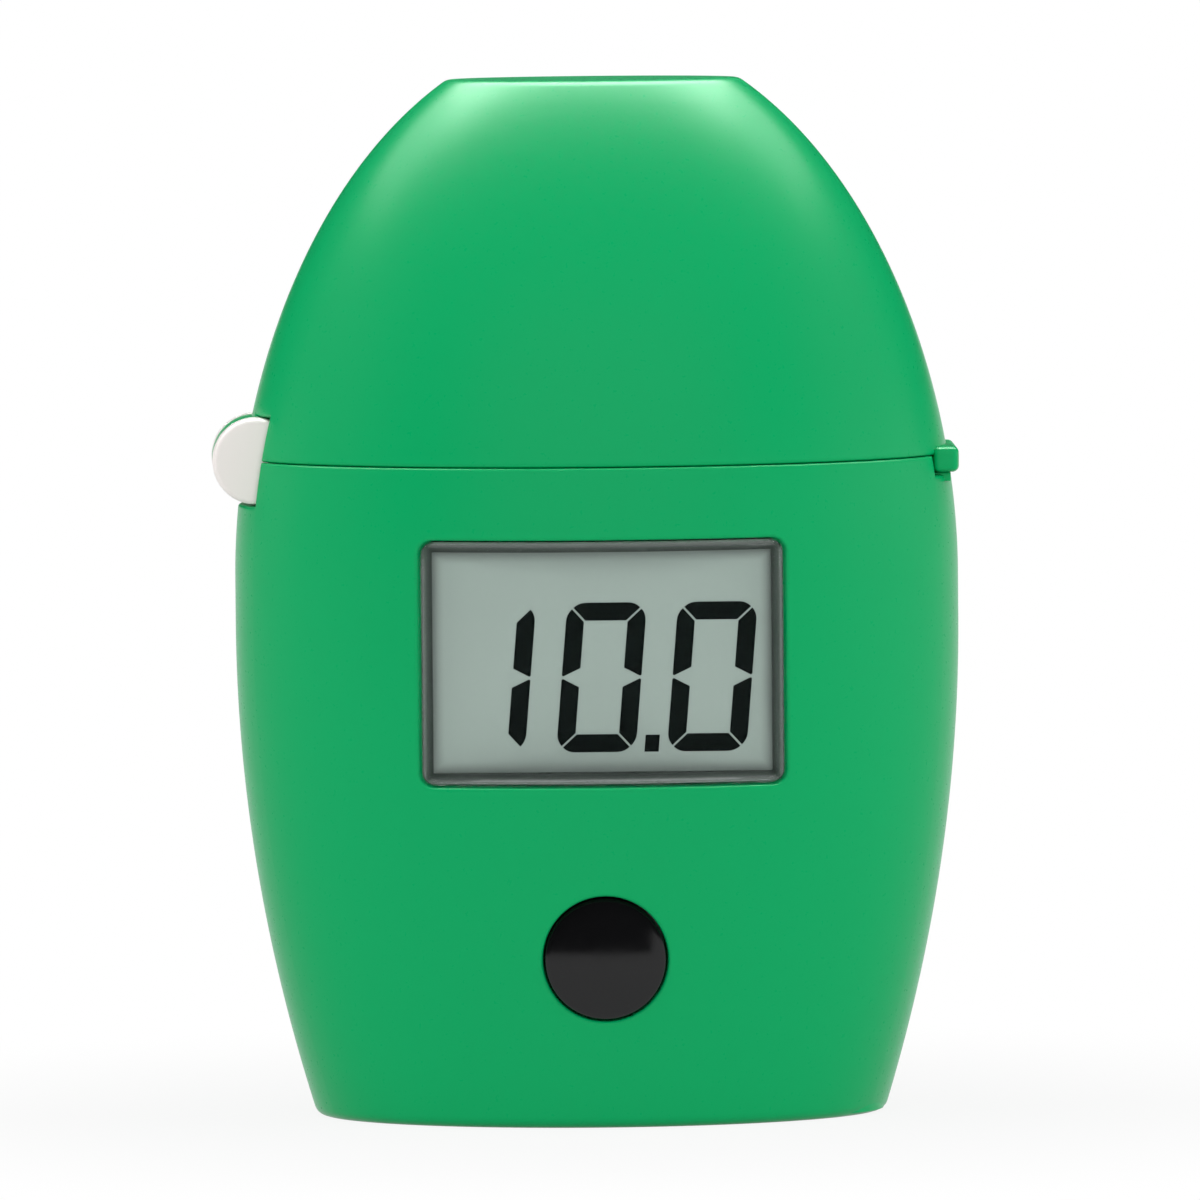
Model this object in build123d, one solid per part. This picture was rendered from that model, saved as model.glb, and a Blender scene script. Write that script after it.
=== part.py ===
from build123d import *
from math import cos, radians, sin, sqrt
import os

# Pocket colorimeter with a hinged lid over the vial well.
# Millimetres. X to the right seen from the front, Y towards the back, Z up.
# The origin is the middle of the flat base, on the surface it stands on.

# Casing outline, an egg of elliptic sections
total_height = 86.0
side_room = 7.95
depth_room = 2.3
base_draw_width = 6.43
base_draw_depth = 2.35
belly_height = 41.0
shoulder_height = 45.0
crown_overrun = 4.0
width_power = 1.9
width_root = 0.5
depth_power = 2.1
depth_root = 0.75
base_edge_radius = 1.0
crown_edge_radius = 1.3
rim_edge_radius = 0.25

# Casing walls and the parting plane between body and lid
wall = 1.7
floor_thickness = 2.4
crown_thickness = 2.0
parting_gap = 0.2

# Hinge on the left side
hinge_set_in = 0.88
knuckle_radius = 3.55
hinge_half_length = 5.0
lid_knuckle_half_length = 2.35
knuckle_edge = 0.3
knuckle_side_gap = 0.3
hinge_round_gap = 0.35
pin_radius = 1.0
pin_fit = 0.02
pin_running_fit = 0.06
blind_skin = 0.8
arm_reach = 3.9
arm_drop = 0.7

# Catch on the right side
catch_proud = 0.8
catch_half_length = 5.4
catch_height_above = 0.9
catch_depth_below = 1.45
catch_gap = 0.35
catch_back = 1.45
catch_corner = 0.45
catch_pad_thickness = 2.2
catch_pad_margin = 1.3
catch_pad_height = 8.0

# Lid tongue and light seal inside the rim
tongue_gap = 0.25
tongue_thickness = 0.85
tongue_depth = 1.2
tongue_root_height = 1.7
seal_thickness = 0.6
seal_width = 1.0
liner_gap = 0.2
liner_thickness = 0.7
liner_clearance = 0.3
hinge_zone_margin = 0.6

# Display window, display and its frame
window_width = 30.4
window_height = 20.4
window_corner = 1.2
window_below_parting = 6.0
pane_fit = 0.12
pane_recess = 0.1
pane_thickness = 1.4
frame_band_side = 1.25
frame_band_top = 1.05
display_fit = 0.3
display_thickness = 1.5
display_pane_gap = 0.12
layer_gap = 0.1
pin_count = 12
pin_pitch = 2.0
pin_width = 0.5

# Circuit board
board_thickness = 0.8
board_half_width = 14.2
board_low = 8.0
board_top_gap = 0.4
board_corner = 3.0
board_screw_x = 12.4
board_screw_below_window = 3.6
leg_width = 2.6
leg_thickness = 1.9
rail_width = 2.4

# Components on the board's back face, between the well and the battery
chip_size = 7.0
chip_thickness = 1.2
chip_leg_gap = 0.6
component_spacing = 1.0
resistor_count = 5
resistor_pitch = 1.8
resistor_length = 2.0
resistor_width = 1.0
resistor_thickness = 0.6
can_radius = 2.0
can_height = 1.2

# Power button and its switch
button_radius = 5.0
button_height = 14.1
button_hole_gap = 0.2
button_rim_recess = 0.2
button_dome = 0.9
button_flange = 0.8
button_flange_thickness = 0.6
button_flange_gap = 0.12
button_travel = 0.6
switch_size = 6.0
switch_clearance = 0.1
plunger_radius = 1.6
plunger_gap = 0.05

# Vial well
vial_radius = 12.3
vial_clearance = 0.3
well_wall = 1.0
well_floor_height = 16.6
well_floor_thickness = 1.1
well_rim_above_deck = 0.6
well_board_gap = 0.2
well_deck_gap = 0.1
seal_well_gap = 0.3
shoulder_width = 1.0
shoulder_thickness = 1.5
post_radius = 6.5
post_wall = 1.2

# Optics through the well
optics_height_above_floor = 11.4
optics_angle = 25.0
aperture_radius = 1.8
lamp_radius = 1.5
lamp_flange = 0.4
lamp_sleeve_wall = 1.2
lamp_sleeve_length = 4.4
filter_radius = 3.5
filter_thickness = 2.0
sensor_radius = 3.3
sensor_thickness = 1.6
sensor_sleeve_wall = 1.0
sensor_board_size = 9.0
optics_fit = 0.1
optics_seat = 0.5

# Deck of the chassis
deck_top_below_parting = 1.9
deck_thickness = 2.0
deck_gap = 0.2

# Battery and its parts
cell_radius = 5.25
cell_length = 44.5
cell_nub_radius = 1.9
cell_nub_height = 0.8
cell_clearance = 0.4
cell_y = -1.8
tube_wall = 1.1
tube_well_gap = 0.15
spring_height = 4.5
tube_low_gap = 0.8
contact_thickness = 0.3
contact_width = 4.0
contact_gap = 0.3
cover_margin = 1.0
cover_lip = 0.65
cover_gap = 0.15
cover_thickness = 1.05
cover_recess = 1.2
cover_reach = 9.2
cover_screw_inset = 4.3
spigot_height = 1.0
spigot_wall = 0.9
spigot_gap = 0.2

# Screws
screw_radius = 1.0
screw_head_radius = 1.9
screw_head_height = 1.2
screw_top_radius = 1.5
screw_length = 6.0
thread_gap = 0.02
screw_hole_gap = 0.15
boss_radius = 2.3
boss_height = 10.0
boss_web = 2.0
screw_wall_distance = 4.1
left_screw_y = 5.5
right_screw_y = 6.2

overcut = 1.0

# Sizes that follow from the vial, the cell and the stack in front of them
bore_radius = vial_radius + vial_clearance
well_radius = bore_radius + well_wall
tube_bore = cell_radius + cell_clearance
tube_radius = tube_bore + tube_wall
widest_half_width = wall + well_radius + tube_radius + side_room
widest_half_depth = wall + well_radius + (display_thickness + board_thickness) / 2 + depth_room
base_half_width = widest_half_width - base_draw_width
base_half_depth = widest_half_depth - base_draw_depth
screw_pilot_radius = screw_radius + thread_gap

# Heights
cover_high = cover_recess
cover_low = cover_high - cover_thickness
cell_low = cover_high + spring_height
cell_high = cell_low + cell_length
tube_low = floor_thickness + tube_low_gap
deck_low = cell_high + contact_thickness + contact_gap
deck_top = deck_low + deck_thickness
parting_height = deck_top + deck_top_below_parting
rim_top = parting_height - parting_gap / 2
lid_low = parting_height + parting_gap / 2
board_high = deck_low - board_top_gap
window_center = parting_height - window_below_parting - window_height / 2
window_low = window_center - window_height / 2
board_screw_z = window_low - board_screw_below_window


def half_width(z):
    """Half the casing's width: a parabola below the belly, a power curve above the shoulder."""
    if z < belly_height:
        return widest_half_width - (widest_half_width - base_half_width) * (1 - z / belly_height) ** 2
    rise = max(0.0, z - shoulder_height) / (total_height + crown_overrun - shoulder_height)
    return widest_half_width * (1 - rise ** width_power) ** width_root


def half_depth(z):
    """Half the casing's depth, with the same two curves."""
    if z < belly_height:
        return widest_half_depth - (widest_half_depth - base_half_depth) * (1 - z / belly_height) ** 2
    rise = max(0.0, z - shoulder_height) / (total_height + crown_overrun - shoulder_height)
    return widest_half_depth * (1 - rise ** depth_power) ** depth_root


def inset_size(profile, z, inset):
    """Half size at a height, drawn in by an inset that is measured square to the surface."""
    step = 0.01
    slope = (profile(z + step) - profile(z - step)) / (2 * step)
    return profile(z) - inset * sqrt(1 + slope ** 2)


def surface_depth(x, z, inset):
    """How far the inset casing surface stands from the middle plane, at x and z."""
    across = inset_size(half_width, z, inset)
    return inset_size(half_depth, z, inset) * sqrt(1 - (x / across) ** 2)


def surface_reach(y, z, inset):
    """How far the inset casing surface stands to the side, at y and z."""
    deep = inset_size(half_depth, z, inset)
    return inset_size(half_width, z, inset) * sqrt(1 - (y / deep) ** 2)


# Hinge and catch places
hinge_x = -(half_width(parting_height) - hinge_set_in)
hinge_z = parting_height
hinge_clear_radius = knuckle_radius + hinge_round_gap
hinge_zone = hinge_half_length + hinge_zone_margin
catch_outer = half_width(parting_height) + catch_proud
catch_inner = half_width(parting_height) - catch_back

# Stack behind the window, as depths in front of the middle plane
display_half_width = window_width / 2 - display_fit
display_half_height = window_height / 2 - display_fit
display_low = window_center - display_half_height
pane_back_inset = pane_recess + pane_thickness
display_front = surface_depth(display_half_width, display_low, pane_back_inset) - display_pane_gap
display_back = display_front - display_thickness
board_front = display_back - layer_gap
board_back = board_front - board_thickness

# Vial well and battery places in plan
well_y = well_radius + well_board_gap - board_back
cover_half_width = tube_bore + cover_lip
cell_x = base_half_width - base_edge_radius - cover_margin - cover_half_width
centre_distance = well_radius + tube_radius + tube_well_gap
well_x = cell_x - sqrt(centre_distance ** 2 - (cell_y - well_y) ** 2)
well_low = well_floor_height - well_floor_thickness
well_top = deck_top + well_rim_above_deck
optics_z = well_floor_height + optics_height_above_floor

cover_screw_x = cell_x - cover_reach - cover_half_width + cover_screw_inset

# Button and switch depths
button_face = surface_depth(0, button_height, 0) - button_rim_recess
flange_radius = button_radius + button_flange
flange_front = surface_depth(flange_radius, button_height - flange_radius, wall) - button_flange_gap
flange_back = flange_front - button_flange_thickness
switch_front = flange_back - button_travel - switch_clearance
switch_thickness = switch_front - board_front
chip_x = board_screw_x - leg_width / 2 - chip_leg_gap - chip_size / 2
chip_z = (board_low + board_high) / 2
resistor_x = chip_x - chip_size / 2 - component_spacing - resistor_length / 2
can_z = chip_z - chip_size / 2 - component_spacing - can_radius

left_screw_x = screw_wall_distance - surface_reach(left_screw_y, deck_top, wall)
right_screw_x = surface_reach(right_screw_y, deck_top, wall) - screw_wall_distance
screw_spots = [
    (left_screw_x, -left_screw_y),
    (left_screw_x, left_screw_y),
    (right_screw_x, right_screw_y),
]
centred_up = (Align.CENTER, Align.CENTER, Align.MIN)


def block(x0, x1, y0, y1, z0, z1):
    """Box between two corners."""
    middle = Pos((x0 + x1) / 2, (y0 + y1) / 2, (z0 + z1) / 2)
    return middle * Box(x1 - x0, y1 - y0, z1 - z0)


def post(x, y, low, high, radius):
    """Upright cylinder between two heights."""
    return Pos(x, y, low) * Cylinder(radius, high - low, align=centred_up)


def bar(x, z, front, back, radius):
    """Cylinder that runs from front to back."""
    return Plane(origin=(x, front, z), z_dir=(0, 1, 0)) * Cylinder(radius, back - front, align=centred_up)


def window_block(width, height, corner, front, back):
    """Rounded block in the window's place, between two depths in front of the middle plane."""
    face = Plane(origin=(0, -back, window_center), x_dir=(1, 0, 0), z_dir=(0, -1, 0))
    return extrude(face * RectangleRounded(width, height, corner), front - back)


def egg(inset, low, high, count=6, crowded=False):
    """Casing outline drawn in by an inset, lofted through ellipses between two heights."""
    sections = []
    for step in range(count + 1):
        share = step / count
        if crowded:
            share = sin(radians(90 * share))
        z = low + (high - low) * share
        ellipse = Ellipse(inset_size(half_width, z, inset), inset_size(half_depth, z, inset))
        sections.append(Pos(0, 0, z) * ellipse)
    return loft(sections)


def crown_egg(inset, low, high):
    """The same for the lid, with more sections near the crown."""
    return egg(inset, low, high, count=8, crowded=True)


def optics(distance):
    """Plane square to the light path, at a distance from the well's axis towards the sensor."""
    ray = (cos(radians(optics_angle)), sin(radians(optics_angle)), 0)
    origin = (well_x + ray[0] * distance, well_y + ray[1] * distance, optics_z)
    return Plane(origin=origin, x_dir=(0, 0, 1), z_dir=ray)


def lamp_side(distance):
    """Plane square to the light path on the lamp's side, facing away from the well."""
    ray = (-cos(radians(optics_angle)), -sin(radians(optics_angle)), 0)
    origin = (well_x + ray[0] * distance, well_y + ray[1] * distance, optics_z)
    return Plane(origin=origin, x_dir=(0, 0, 1), z_dir=ray)


def disc(plane, radius, length):
    """Cylinder that stands on a plane."""
    return plane * Cylinder(radius, length, align=centred_up)


def screw(length):
    """Pan head screw, head down to z 0 and shank below."""
    head = Cone(screw_head_radius, screw_top_radius, screw_head_height, align=centred_up)
    shank = Pos(0, 0, -length) * Cylinder(screw_radius, length, align=centred_up)
    return head + shank


def positive_contact_path(grow):
    """Strip from the top of the cell to the board, or the same grown for its slot."""
    low = cell_high - grow
    high = cell_high + contact_thickness + grow
    half = contact_width / 2
    side = half + grow
    pad = block(cell_x - side, cell_x + side, cell_y - side, cell_y + side, low, high)
    strip_end = board_screw_x - leg_width / 2 - 2 * contact_gap
    strip_start = strip_end - half
    run = block(strip_start - grow, cell_x, cell_y - side, cell_y + grow, low, high)
    front = -board_back if grow == 0 else -board_back - grow
    strip = block(strip_start - grow, strip_end + grow, front, cell_y, low, high)
    return pad + run + strip


def hinge_gap_block(low, high):
    """Space round the hinge that rings inside the rim leave free."""
    inner_end = hinge_x + hinge_clear_radius + hinge_zone_margin
    return block(hinge_x - widest_half_width, inner_end, -hinge_zone, hinge_zone, low, high)


def catch_gap_block(low, high):
    """Space behind the catch that rings inside the rim leave free."""
    side = catch_half_length + catch_pad_margin + catch_gap
    start = catch_inner - catch_pad_thickness - catch_gap
    return block(start, widest_half_width + overcut, -side, side, low, high)


def body_shell():
    outer = egg(0, 0, rim_top)
    outer = fillet(outer.edges().group_by(Axis.Z)[0], base_edge_radius)
    outer = chamfer(outer.edges().group_by(Axis.Z)[-1], rim_edge_radius)
    shell = outer - egg(wall, floor_thickness, rim_top + overcut, count=3)

    # Bosses for the chassis screws, each with a web to the wall
    mould = egg(wall / 2, floor_thickness, rim_top)
    for x, y in screw_spots:
        low = deck_low - boss_height
        side = widest_half_width if x > 0 else -widest_half_width
        web = block(min(x, side), max(x, side), y - boss_web / 2, y + boss_web / 2, low, deck_low)
        boss = (post(x, y, low, deck_low, boss_radius) + web) & mould
        shell += boss
        shell -= post(x, y, deck_low - screw_length, deck_low + overcut, screw_pilot_radius)

    # Post that carries the vial well, and rails for the board's lower edge
    stand = post(well_x, well_y, floor_thickness - overcut, well_low, post_radius)
    shell += stand - post(well_x, well_y, floor_thickness, well_low + overcut, post_radius - post_wall)
    rail_high = board_low + rail_width / 2
    for side in (-1, 1):
        middle = side * (board_half_width - board_corner - rail_width)
        start = middle - rail_width / 2
        end = middle + rail_width / 2
        front_depth = surface_depth(abs(middle) + rail_width, floor_thickness, wall / 2)
        rail = block(start, end, -front_depth, -board_front - layer_gap, wall / 2, rail_high)
        rail += block(
            start, end, -board_back + layer_gap, -board_back + rail_width / 2, wall / 2, rail_high
        )
        shell += rail

    # Boss for the battery cover's screw
    pilot_high = cover_high + screw_length + layer_gap
    shell += post(cover_screw_x, cell_y, cover_recess, pilot_high + wall / 2, boss_radius)

    # Pad behind the catch, and the notch for it
    pad_start = catch_inner - catch_pad_thickness
    pad_side = catch_half_length + catch_pad_margin
    pad_low = rim_top - catch_pad_height
    pad = block(pad_start, widest_half_width, -pad_side, pad_side, pad_low, rim_top)
    shell += pad & egg(wall / 2, pad_low, rim_top)
    notch_side = catch_half_length + catch_gap
    notch_low = parting_height - catch_depth_below - catch_gap
    notch_start = catch_inner - catch_gap / 2
    notch_end = catch_outer + overcut
    shell -= block(notch_start, notch_end, -notch_side, notch_side, notch_low, rim_top + overcut)

    # Cut-out for the hinge, open towards the deck
    side = hinge_half_length + hinge_round_gap
    shell -= bar(hinge_x, hinge_z, -side, side, hinge_clear_radius)
    inner_end = hinge_x + hinge_clear_radius + hinge_round_gap
    low = hinge_z - hinge_clear_radius
    shell -= block(hinge_x, inner_end, -side, side, low, rim_top + overcut)

    # Window, button hole and battery opening
    shell -= window_block(
        window_width, window_height, window_corner, widest_half_depth + overcut, display_back
    )
    hole_back = flange_back - overcut
    hole_radius = button_radius + button_hole_gap
    shell -= bar(0, button_height, -widest_half_depth - overcut, -hole_back, hole_radius)
    recess = SlotCenterToCenter(cover_reach, 2 * (cover_half_width + cover_gap))
    recess_middle = Pos(cell_x - cover_reach / 2, cell_y, 0)
    shell -= extrude(recess_middle * recess, cover_recess)
    shell -= post(cell_x, cell_y, 0, floor_thickness + overcut, tube_bore)
    shell -= post(cover_screw_x, cell_y, 0, pilot_high, screw_pilot_radius)
    return shell


def lid_shell():
    outer = crown_egg(0, lid_low, total_height)
    outer = fillet(outer.edges().group_by(Axis.Z)[-1], crown_edge_radius)
    outer = chamfer(outer.edges().group_by(Axis.Z)[0], rim_edge_radius)
    shell = outer - crown_egg(wall, lid_low - overcut, total_height - crown_thickness)

    # Tongue that drops inside the body's rim and traps light
    outside = wall + tongue_gap
    inside = outside + tongue_thickness
    low = parting_height - tongue_depth
    high = lid_low + tongue_root_height
    tongue = egg(outside, low, lid_low + overcut, count=2)
    tongue += egg(wall / 2, lid_low, high, count=2)
    tongue -= egg(inside, low - overcut, high + overcut, count=2)
    tongue -= hinge_gap_block(low - overcut, high + overcut)
    tongue -= catch_gap_block(low - overcut, lid_low)
    shell += tongue

    # Room for the chassis knuckles, and the lid's own knuckle between them
    side = hinge_half_length + hinge_round_gap
    for front, back in ((-side, -lid_knuckle_half_length), (lid_knuckle_half_length, side)):
        shell -= bar(hinge_x, hinge_z, front, back, hinge_clear_radius)
    knuckle_half = lid_knuckle_half_length
    shell += bar(hinge_x, hinge_z, -knuckle_half, knuckle_half, knuckle_radius)
    shell -= bar(hinge_x, hinge_z, -knuckle_half, knuckle_half, pin_radius + pin_running_fit)

    # Catch tab
    tab_low = parting_height - catch_depth_below
    tab_high = parting_height + catch_height_above
    tab = block(
        catch_inner, catch_outer, -catch_half_length, catch_half_length, tab_low, tab_high
    )
    tab = fillet(tab.edges().filter_by(Axis.Z).group_by(Axis.X)[-1], catch_corner)
    tab = chamfer(tab.faces().sort_by(Axis.X)[-1].edges(), catch_corner / 2)
    tab -= crown_egg(wall, lid_low, tab_high + overcut)
    return shell + tab


def chassis():
    deck = egg(wall + deck_gap, deck_low, deck_top, count=2)
    deck -= catch_gap_block(deck_low - overcut, deck_top + overcut)
    deck -= post(well_x, well_y, deck_low - overcut, deck_top + overcut, well_radius + well_deck_gap)
    for x, y in screw_spots:
        hole = screw_radius + screw_hole_gap
        deck -= post(x, y, deck_low - overcut, deck_top + overcut, hole)

    # Hinge arms and knuckles
    knuckle_inner = lid_knuckle_half_length + knuckle_side_gap
    arm_low = hinge_z - knuckle_radius
    arm_high = hinge_z - arm_drop
    for side in (-1, 1):
        near = side * knuckle_inner
        far = side * hinge_half_length
        front = min(near, far)
        back = max(near, far)
        knuckle = bar(hinge_x, hinge_z, front, back, knuckle_radius)
        outer_face = knuckle.faces().sort_by(Axis.Y)[0 if side < 0 else -1]
        deck += chamfer(outer_face.edges(), knuckle_edge)
        deck += block(hinge_x, hinge_x + arm_reach, front, back, arm_low, arm_high)
    knuckle_clear = bar(
        hinge_x, hinge_z, -knuckle_inner, knuckle_inner, hinge_clear_radius
    )
    deck -= knuckle_clear
    pin_bore_front = -hinge_half_length + blind_skin
    deck -= bar(hinge_x, hinge_z, pin_bore_front, hinge_half_length, pin_radius + pin_fit)

    # Battery tube, trimmed where it nears the casing
    tube = post(cell_x, cell_y, tube_low, deck_low + deck_thickness / 2, tube_radius)
    tube &= egg(wall + deck_gap, tube_low, deck_top)
    frame = deck + tube
    frame -= post(cell_x, cell_y, tube_low - overcut, deck_low, tube_bore)

    # Legs that carry the circuit board
    leg_low = board_screw_z - leg_width
    for side in (-1, 1):
        middle = side * board_screw_x
        leg = block(
            middle - leg_width / 2,
            middle + leg_width / 2,
            -board_back,
            -board_back + leg_thickness,
            leg_low,
            deck_low + deck_thickness / 2,
        )
        leg -= bar(
            middle, board_screw_z, -board_back - overcut, -board_back + leg_thickness, screw_pilot_radius
        )
        leg -= post(well_x, well_y, leg_low, deck_top, well_radius + well_board_gap)
        frame += leg
    frame -= post(cell_x, cell_y, tube_low - overcut, deck_low, tube_bore)
    return frame - positive_contact_path(contact_gap)


def hinge_pin():
    pin = bar(
        hinge_x, hinge_z, -hinge_half_length + blind_skin + pin_fit, hinge_half_length, pin_radius
    )
    return chamfer(pin.edges().filter_by(GeomType.CIRCLE), pin_radius / 4)


def cuvette_holder():
    holder = post(well_x, well_y, well_low, well_top, well_radius)
    ring_low = deck_low - shoulder_thickness
    ring = post(well_x, well_y, ring_low, deck_low, well_radius + shoulder_width)
    ring &= egg(wall + deck_gap, ring_low, deck_low, count=2)
    leg_back = -board_back + leg_thickness + well_board_gap
    ring -= block(
        -widest_half_width, widest_half_width, -widest_half_depth, leg_back, ring_low, deck_low
    )
    ring -= post(cell_x, cell_y, ring_low, deck_low, tube_radius + tube_well_gap)
    ring -= positive_contact_path(contact_gap)
    holder += ring

    # Sleeves for the lamp and for the filter with the sensor
    start = bore_radius + well_wall / 2
    lamp_end = well_radius + lamp_sleeve_length
    lamp_bore = lamp_radius + optics_fit
    holder += disc(lamp_side(start), lamp_bore + lamp_sleeve_wall, lamp_end - start)
    seat = well_radius + optics_seat
    sensor_bore = filter_radius + optics_fit
    sensor_end = seat + filter_thickness + sensor_thickness + 2 * optics_fit
    holder += disc(optics(start), sensor_bore + sensor_sleeve_wall, sensor_end - start)
    holder -= post(well_x, well_y, well_floor_height, well_top + overcut, bore_radius)
    holder -= disc(lamp_side(seat), lamp_bore, lamp_sleeve_length + overcut)
    holder -= disc(optics(seat), sensor_bore, sensor_end - seat + overcut)
    holder -= disc(lamp_side(0), aperture_radius / 2, seat + overcut)
    holder -= disc(optics(0), aperture_radius, seat + overcut)

    # Index notch at the front of the rim
    notch = block(
        well_x - well_wall / 2,
        well_x + well_wall / 2,
        well_y - well_radius - overcut,
        well_y - bore_radius + overcut,
        deck_top + well_rim_above_deck / 3,
        well_top + overcut,
    )
    return holder - notch


def light_gasket():
    outside = wall + tongue_gap
    high = deck_top + seal_thickness
    ring = egg(outside, deck_top, high, count=2)
    ring -= egg(outside + seal_width, deck_top - overcut, high + overcut, count=2)
    ring -= hinge_gap_block(deck_top - overcut, high + overcut)
    ring -= catch_gap_block(deck_top - overcut, high + overcut)
    ring -= post(well_x, well_y, deck_top - overcut, high + overcut, well_radius + seal_well_gap)
    for x, y in screw_spots:
        ring -= post(x, y, deck_top - overcut, high + overcut, screw_head_radius + seal_well_gap)
    return ring


def lid_liner():
    low = lid_low + tongue_root_height + liner_clearance
    high = total_height - crown_thickness - liner_gap
    outside = wall + liner_gap
    liner = crown_egg(outside, low, high)
    liner -= crown_egg(outside + liner_thickness, low - overcut, high - liner_thickness)
    side = hinge_half_length + hinge_round_gap + liner_clearance
    liner -= bar(hinge_x, hinge_z, -side, side, hinge_clear_radius + liner_clearance)
    return liner


def display_window():
    block_of_pane = window_block(
        window_width - 2 * pane_fit,
        window_height - 2 * pane_fit,
        window_corner - pane_fit,
        widest_half_depth + overcut,
        display_back,
    )
    low = window_low - overcut
    high = window_low + window_height + overcut
    skin = egg(pane_recess, low, high) - egg(pane_back_inset, low - overcut, high + overcut)
    return block_of_pane & skin


def lcd_frame():
    outer = window_block(
        window_width - 2 * display_fit,
        window_height - 2 * display_fit,
        window_corner - pane_fit,
        widest_half_depth,
        display_front,
    )
    inner = window_block(
        window_width - 2 * frame_band_side,
        window_height - 2 * frame_band_top,
        pane_fit,
        widest_half_depth,
        display_front,
    )
    low = window_low - overcut
    high = window_low + window_height + overcut
    return (outer - inner) & egg(pane_back_inset + display_pane_gap / 2, low, high)


def lcd_panel():
    depth = display_thickness
    plate = block(
        -display_half_width,
        display_half_width,
        -display_front,
        -display_back,
        display_low,
        window_center + display_half_height,
    )
    return chamfer(plate.edges().filter_by(Axis.Y), depth / 6)


def lcd_pins():
    pins = []
    low = display_low - layer_gap - pin_width
    for index in range(pin_count):
        x = (index - (pin_count - 1) / 2) * pin_pitch
        pins.append(
            block(
                x - pin_width / 2,
                x + pin_width / 2,
                -display_front + layer_gap,
                -board_front,
                low,
                low + pin_width,
            )
        )
    return Compound(pins)


def main_pcb():
    outline = block(
        -board_half_width, board_half_width, -board_front, -board_back, board_low, board_high
    )
    lower = outline.edges().filter_by(Axis.Y).group_by(Axis.Z)[0]
    outline = chamfer(lower, board_corner)
    for side in (-1, 1):
        hole = screw_radius + screw_hole_gap
        outline -= bar(side * board_screw_x, board_screw_z, -board_front, -board_back, hole)
    return outline


def chip(x, z, width, height, start, end):
    """Component that lies on the board, between two places along Y."""
    return block(x - width / 2, x + width / 2, start, end, z - height / 2, z + height / 2)


def microcontroller():
    back = -board_back + chip_thickness
    body = chip(chip_x, chip_z, chip_size, chip_size, -board_back, back)
    return chamfer(body.faces().sort_by(Axis.Y)[-1].edges(), chip_thickness / 4)


def pcb_components():
    parts = []
    for index in range(resistor_count):
        z = chip_z + chip_size / 2 - index * resistor_pitch
        back = -board_back + resistor_thickness
        parts.append(chip(resistor_x, z, resistor_length, resistor_width, -board_back, back))
    parts.append(bar(chip_x, can_z, -board_back, -board_back + can_height, can_radius))
    return Compound(parts)


def tact_switch():
    front = -board_front - switch_thickness
    body = chip(0, button_height, switch_size, switch_size, front, -board_front)
    body = chamfer(body.edges().filter_by(Axis.Y), switch_thickness / 2)
    bore = plunger_radius + plunger_gap
    return body - bar(0, button_height, -switch_front - overcut, -board_front, bore)


def switch_plunger():
    back = board_front + button_travel + plunger_gap
    front = flange_back - plunger_gap
    return bar(0, button_height, -front, -back, plunger_radius)


def power_button():
    cap = bar(0, button_height, -button_face, -flange_front, button_radius)
    sphere_radius = (button_radius ** 2 + button_dome ** 2) / (2 * button_dome)
    centre = -button_face - button_dome + sphere_radius
    dome = Pos(0, centre, button_height) * Sphere(sphere_radius)
    dome &= bar(0, button_height, -button_face - button_dome - overcut, -button_face, button_radius)
    flange = bar(0, button_height, -flange_front, -flange_back, flange_radius)
    return cap + dome + flange


def led_lamp():
    start = well_radius + optics_seat + lamp_radius + optics_fit
    flange_start = well_radius + lamp_sleeve_length + optics_fit
    body = disc(lamp_side(start), lamp_radius, flange_start - start)
    tip = lamp_side(start) * Sphere(lamp_radius)
    flange = disc(lamp_side(flange_start), lamp_radius + lamp_flange, lamp_flange * 2)
    return body + tip + flange


def bandpass_filter():
    seat = well_radius + optics_seat
    return disc(optics(seat), filter_radius, filter_thickness)


def photodetector():
    start = well_radius + optics_seat + filter_thickness + optics_fit
    return disc(optics(start), sensor_radius, sensor_thickness)


def detector_board():
    end = well_radius + optics_seat + filter_thickness + sensor_thickness + 2 * optics_fit
    plate = Box(sensor_board_size, sensor_board_size, board_thickness, align=centred_up)
    return optics(end) * plate


def battery_cell():
    can = post(cell_x, cell_y, cell_low, cell_high - cell_nub_height, cell_radius)
    can = chamfer(can.edges().filter_by(GeomType.CIRCLE), cell_nub_height / 2)
    nub = post(cell_x, cell_y, cell_high - 2 * cell_nub_height, cell_high, cell_nub_radius)
    return can + nub


def battery_spring():
    """Leaf that stands on the cover and bows up to the cell."""
    spigot_inside = tube_bore - spigot_gap - spigot_wall - layer_gap
    half = sqrt(spigot_inside ** 2 - (contact_width / 2) ** 2) - contact_thickness
    base = cover_high + contact_thickness / 2
    top = cell_low - contact_thickness / 2
    bend = contact_thickness * 3
    face = Plane(
        origin=(cell_x, cell_y + contact_width / 2, 0), x_dir=(1, 0, 0), z_dir=(0, -1, 0)
    )
    with BuildPart() as leaf:
        with BuildSketch(face):
            with BuildLine():
                Polyline(
                    (-half, base),
                    (half, base),
                    (half - bend, base + bend),
                    (-half / 3, top),
                    (-half, top - bend),
                )
                offset(amount=contact_thickness / 2, side=Side.BOTH)
            make_face()
        extrude(amount=contact_width)
    return leaf.part


def battery_positive_contact():
    return positive_contact_path(0)


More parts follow.
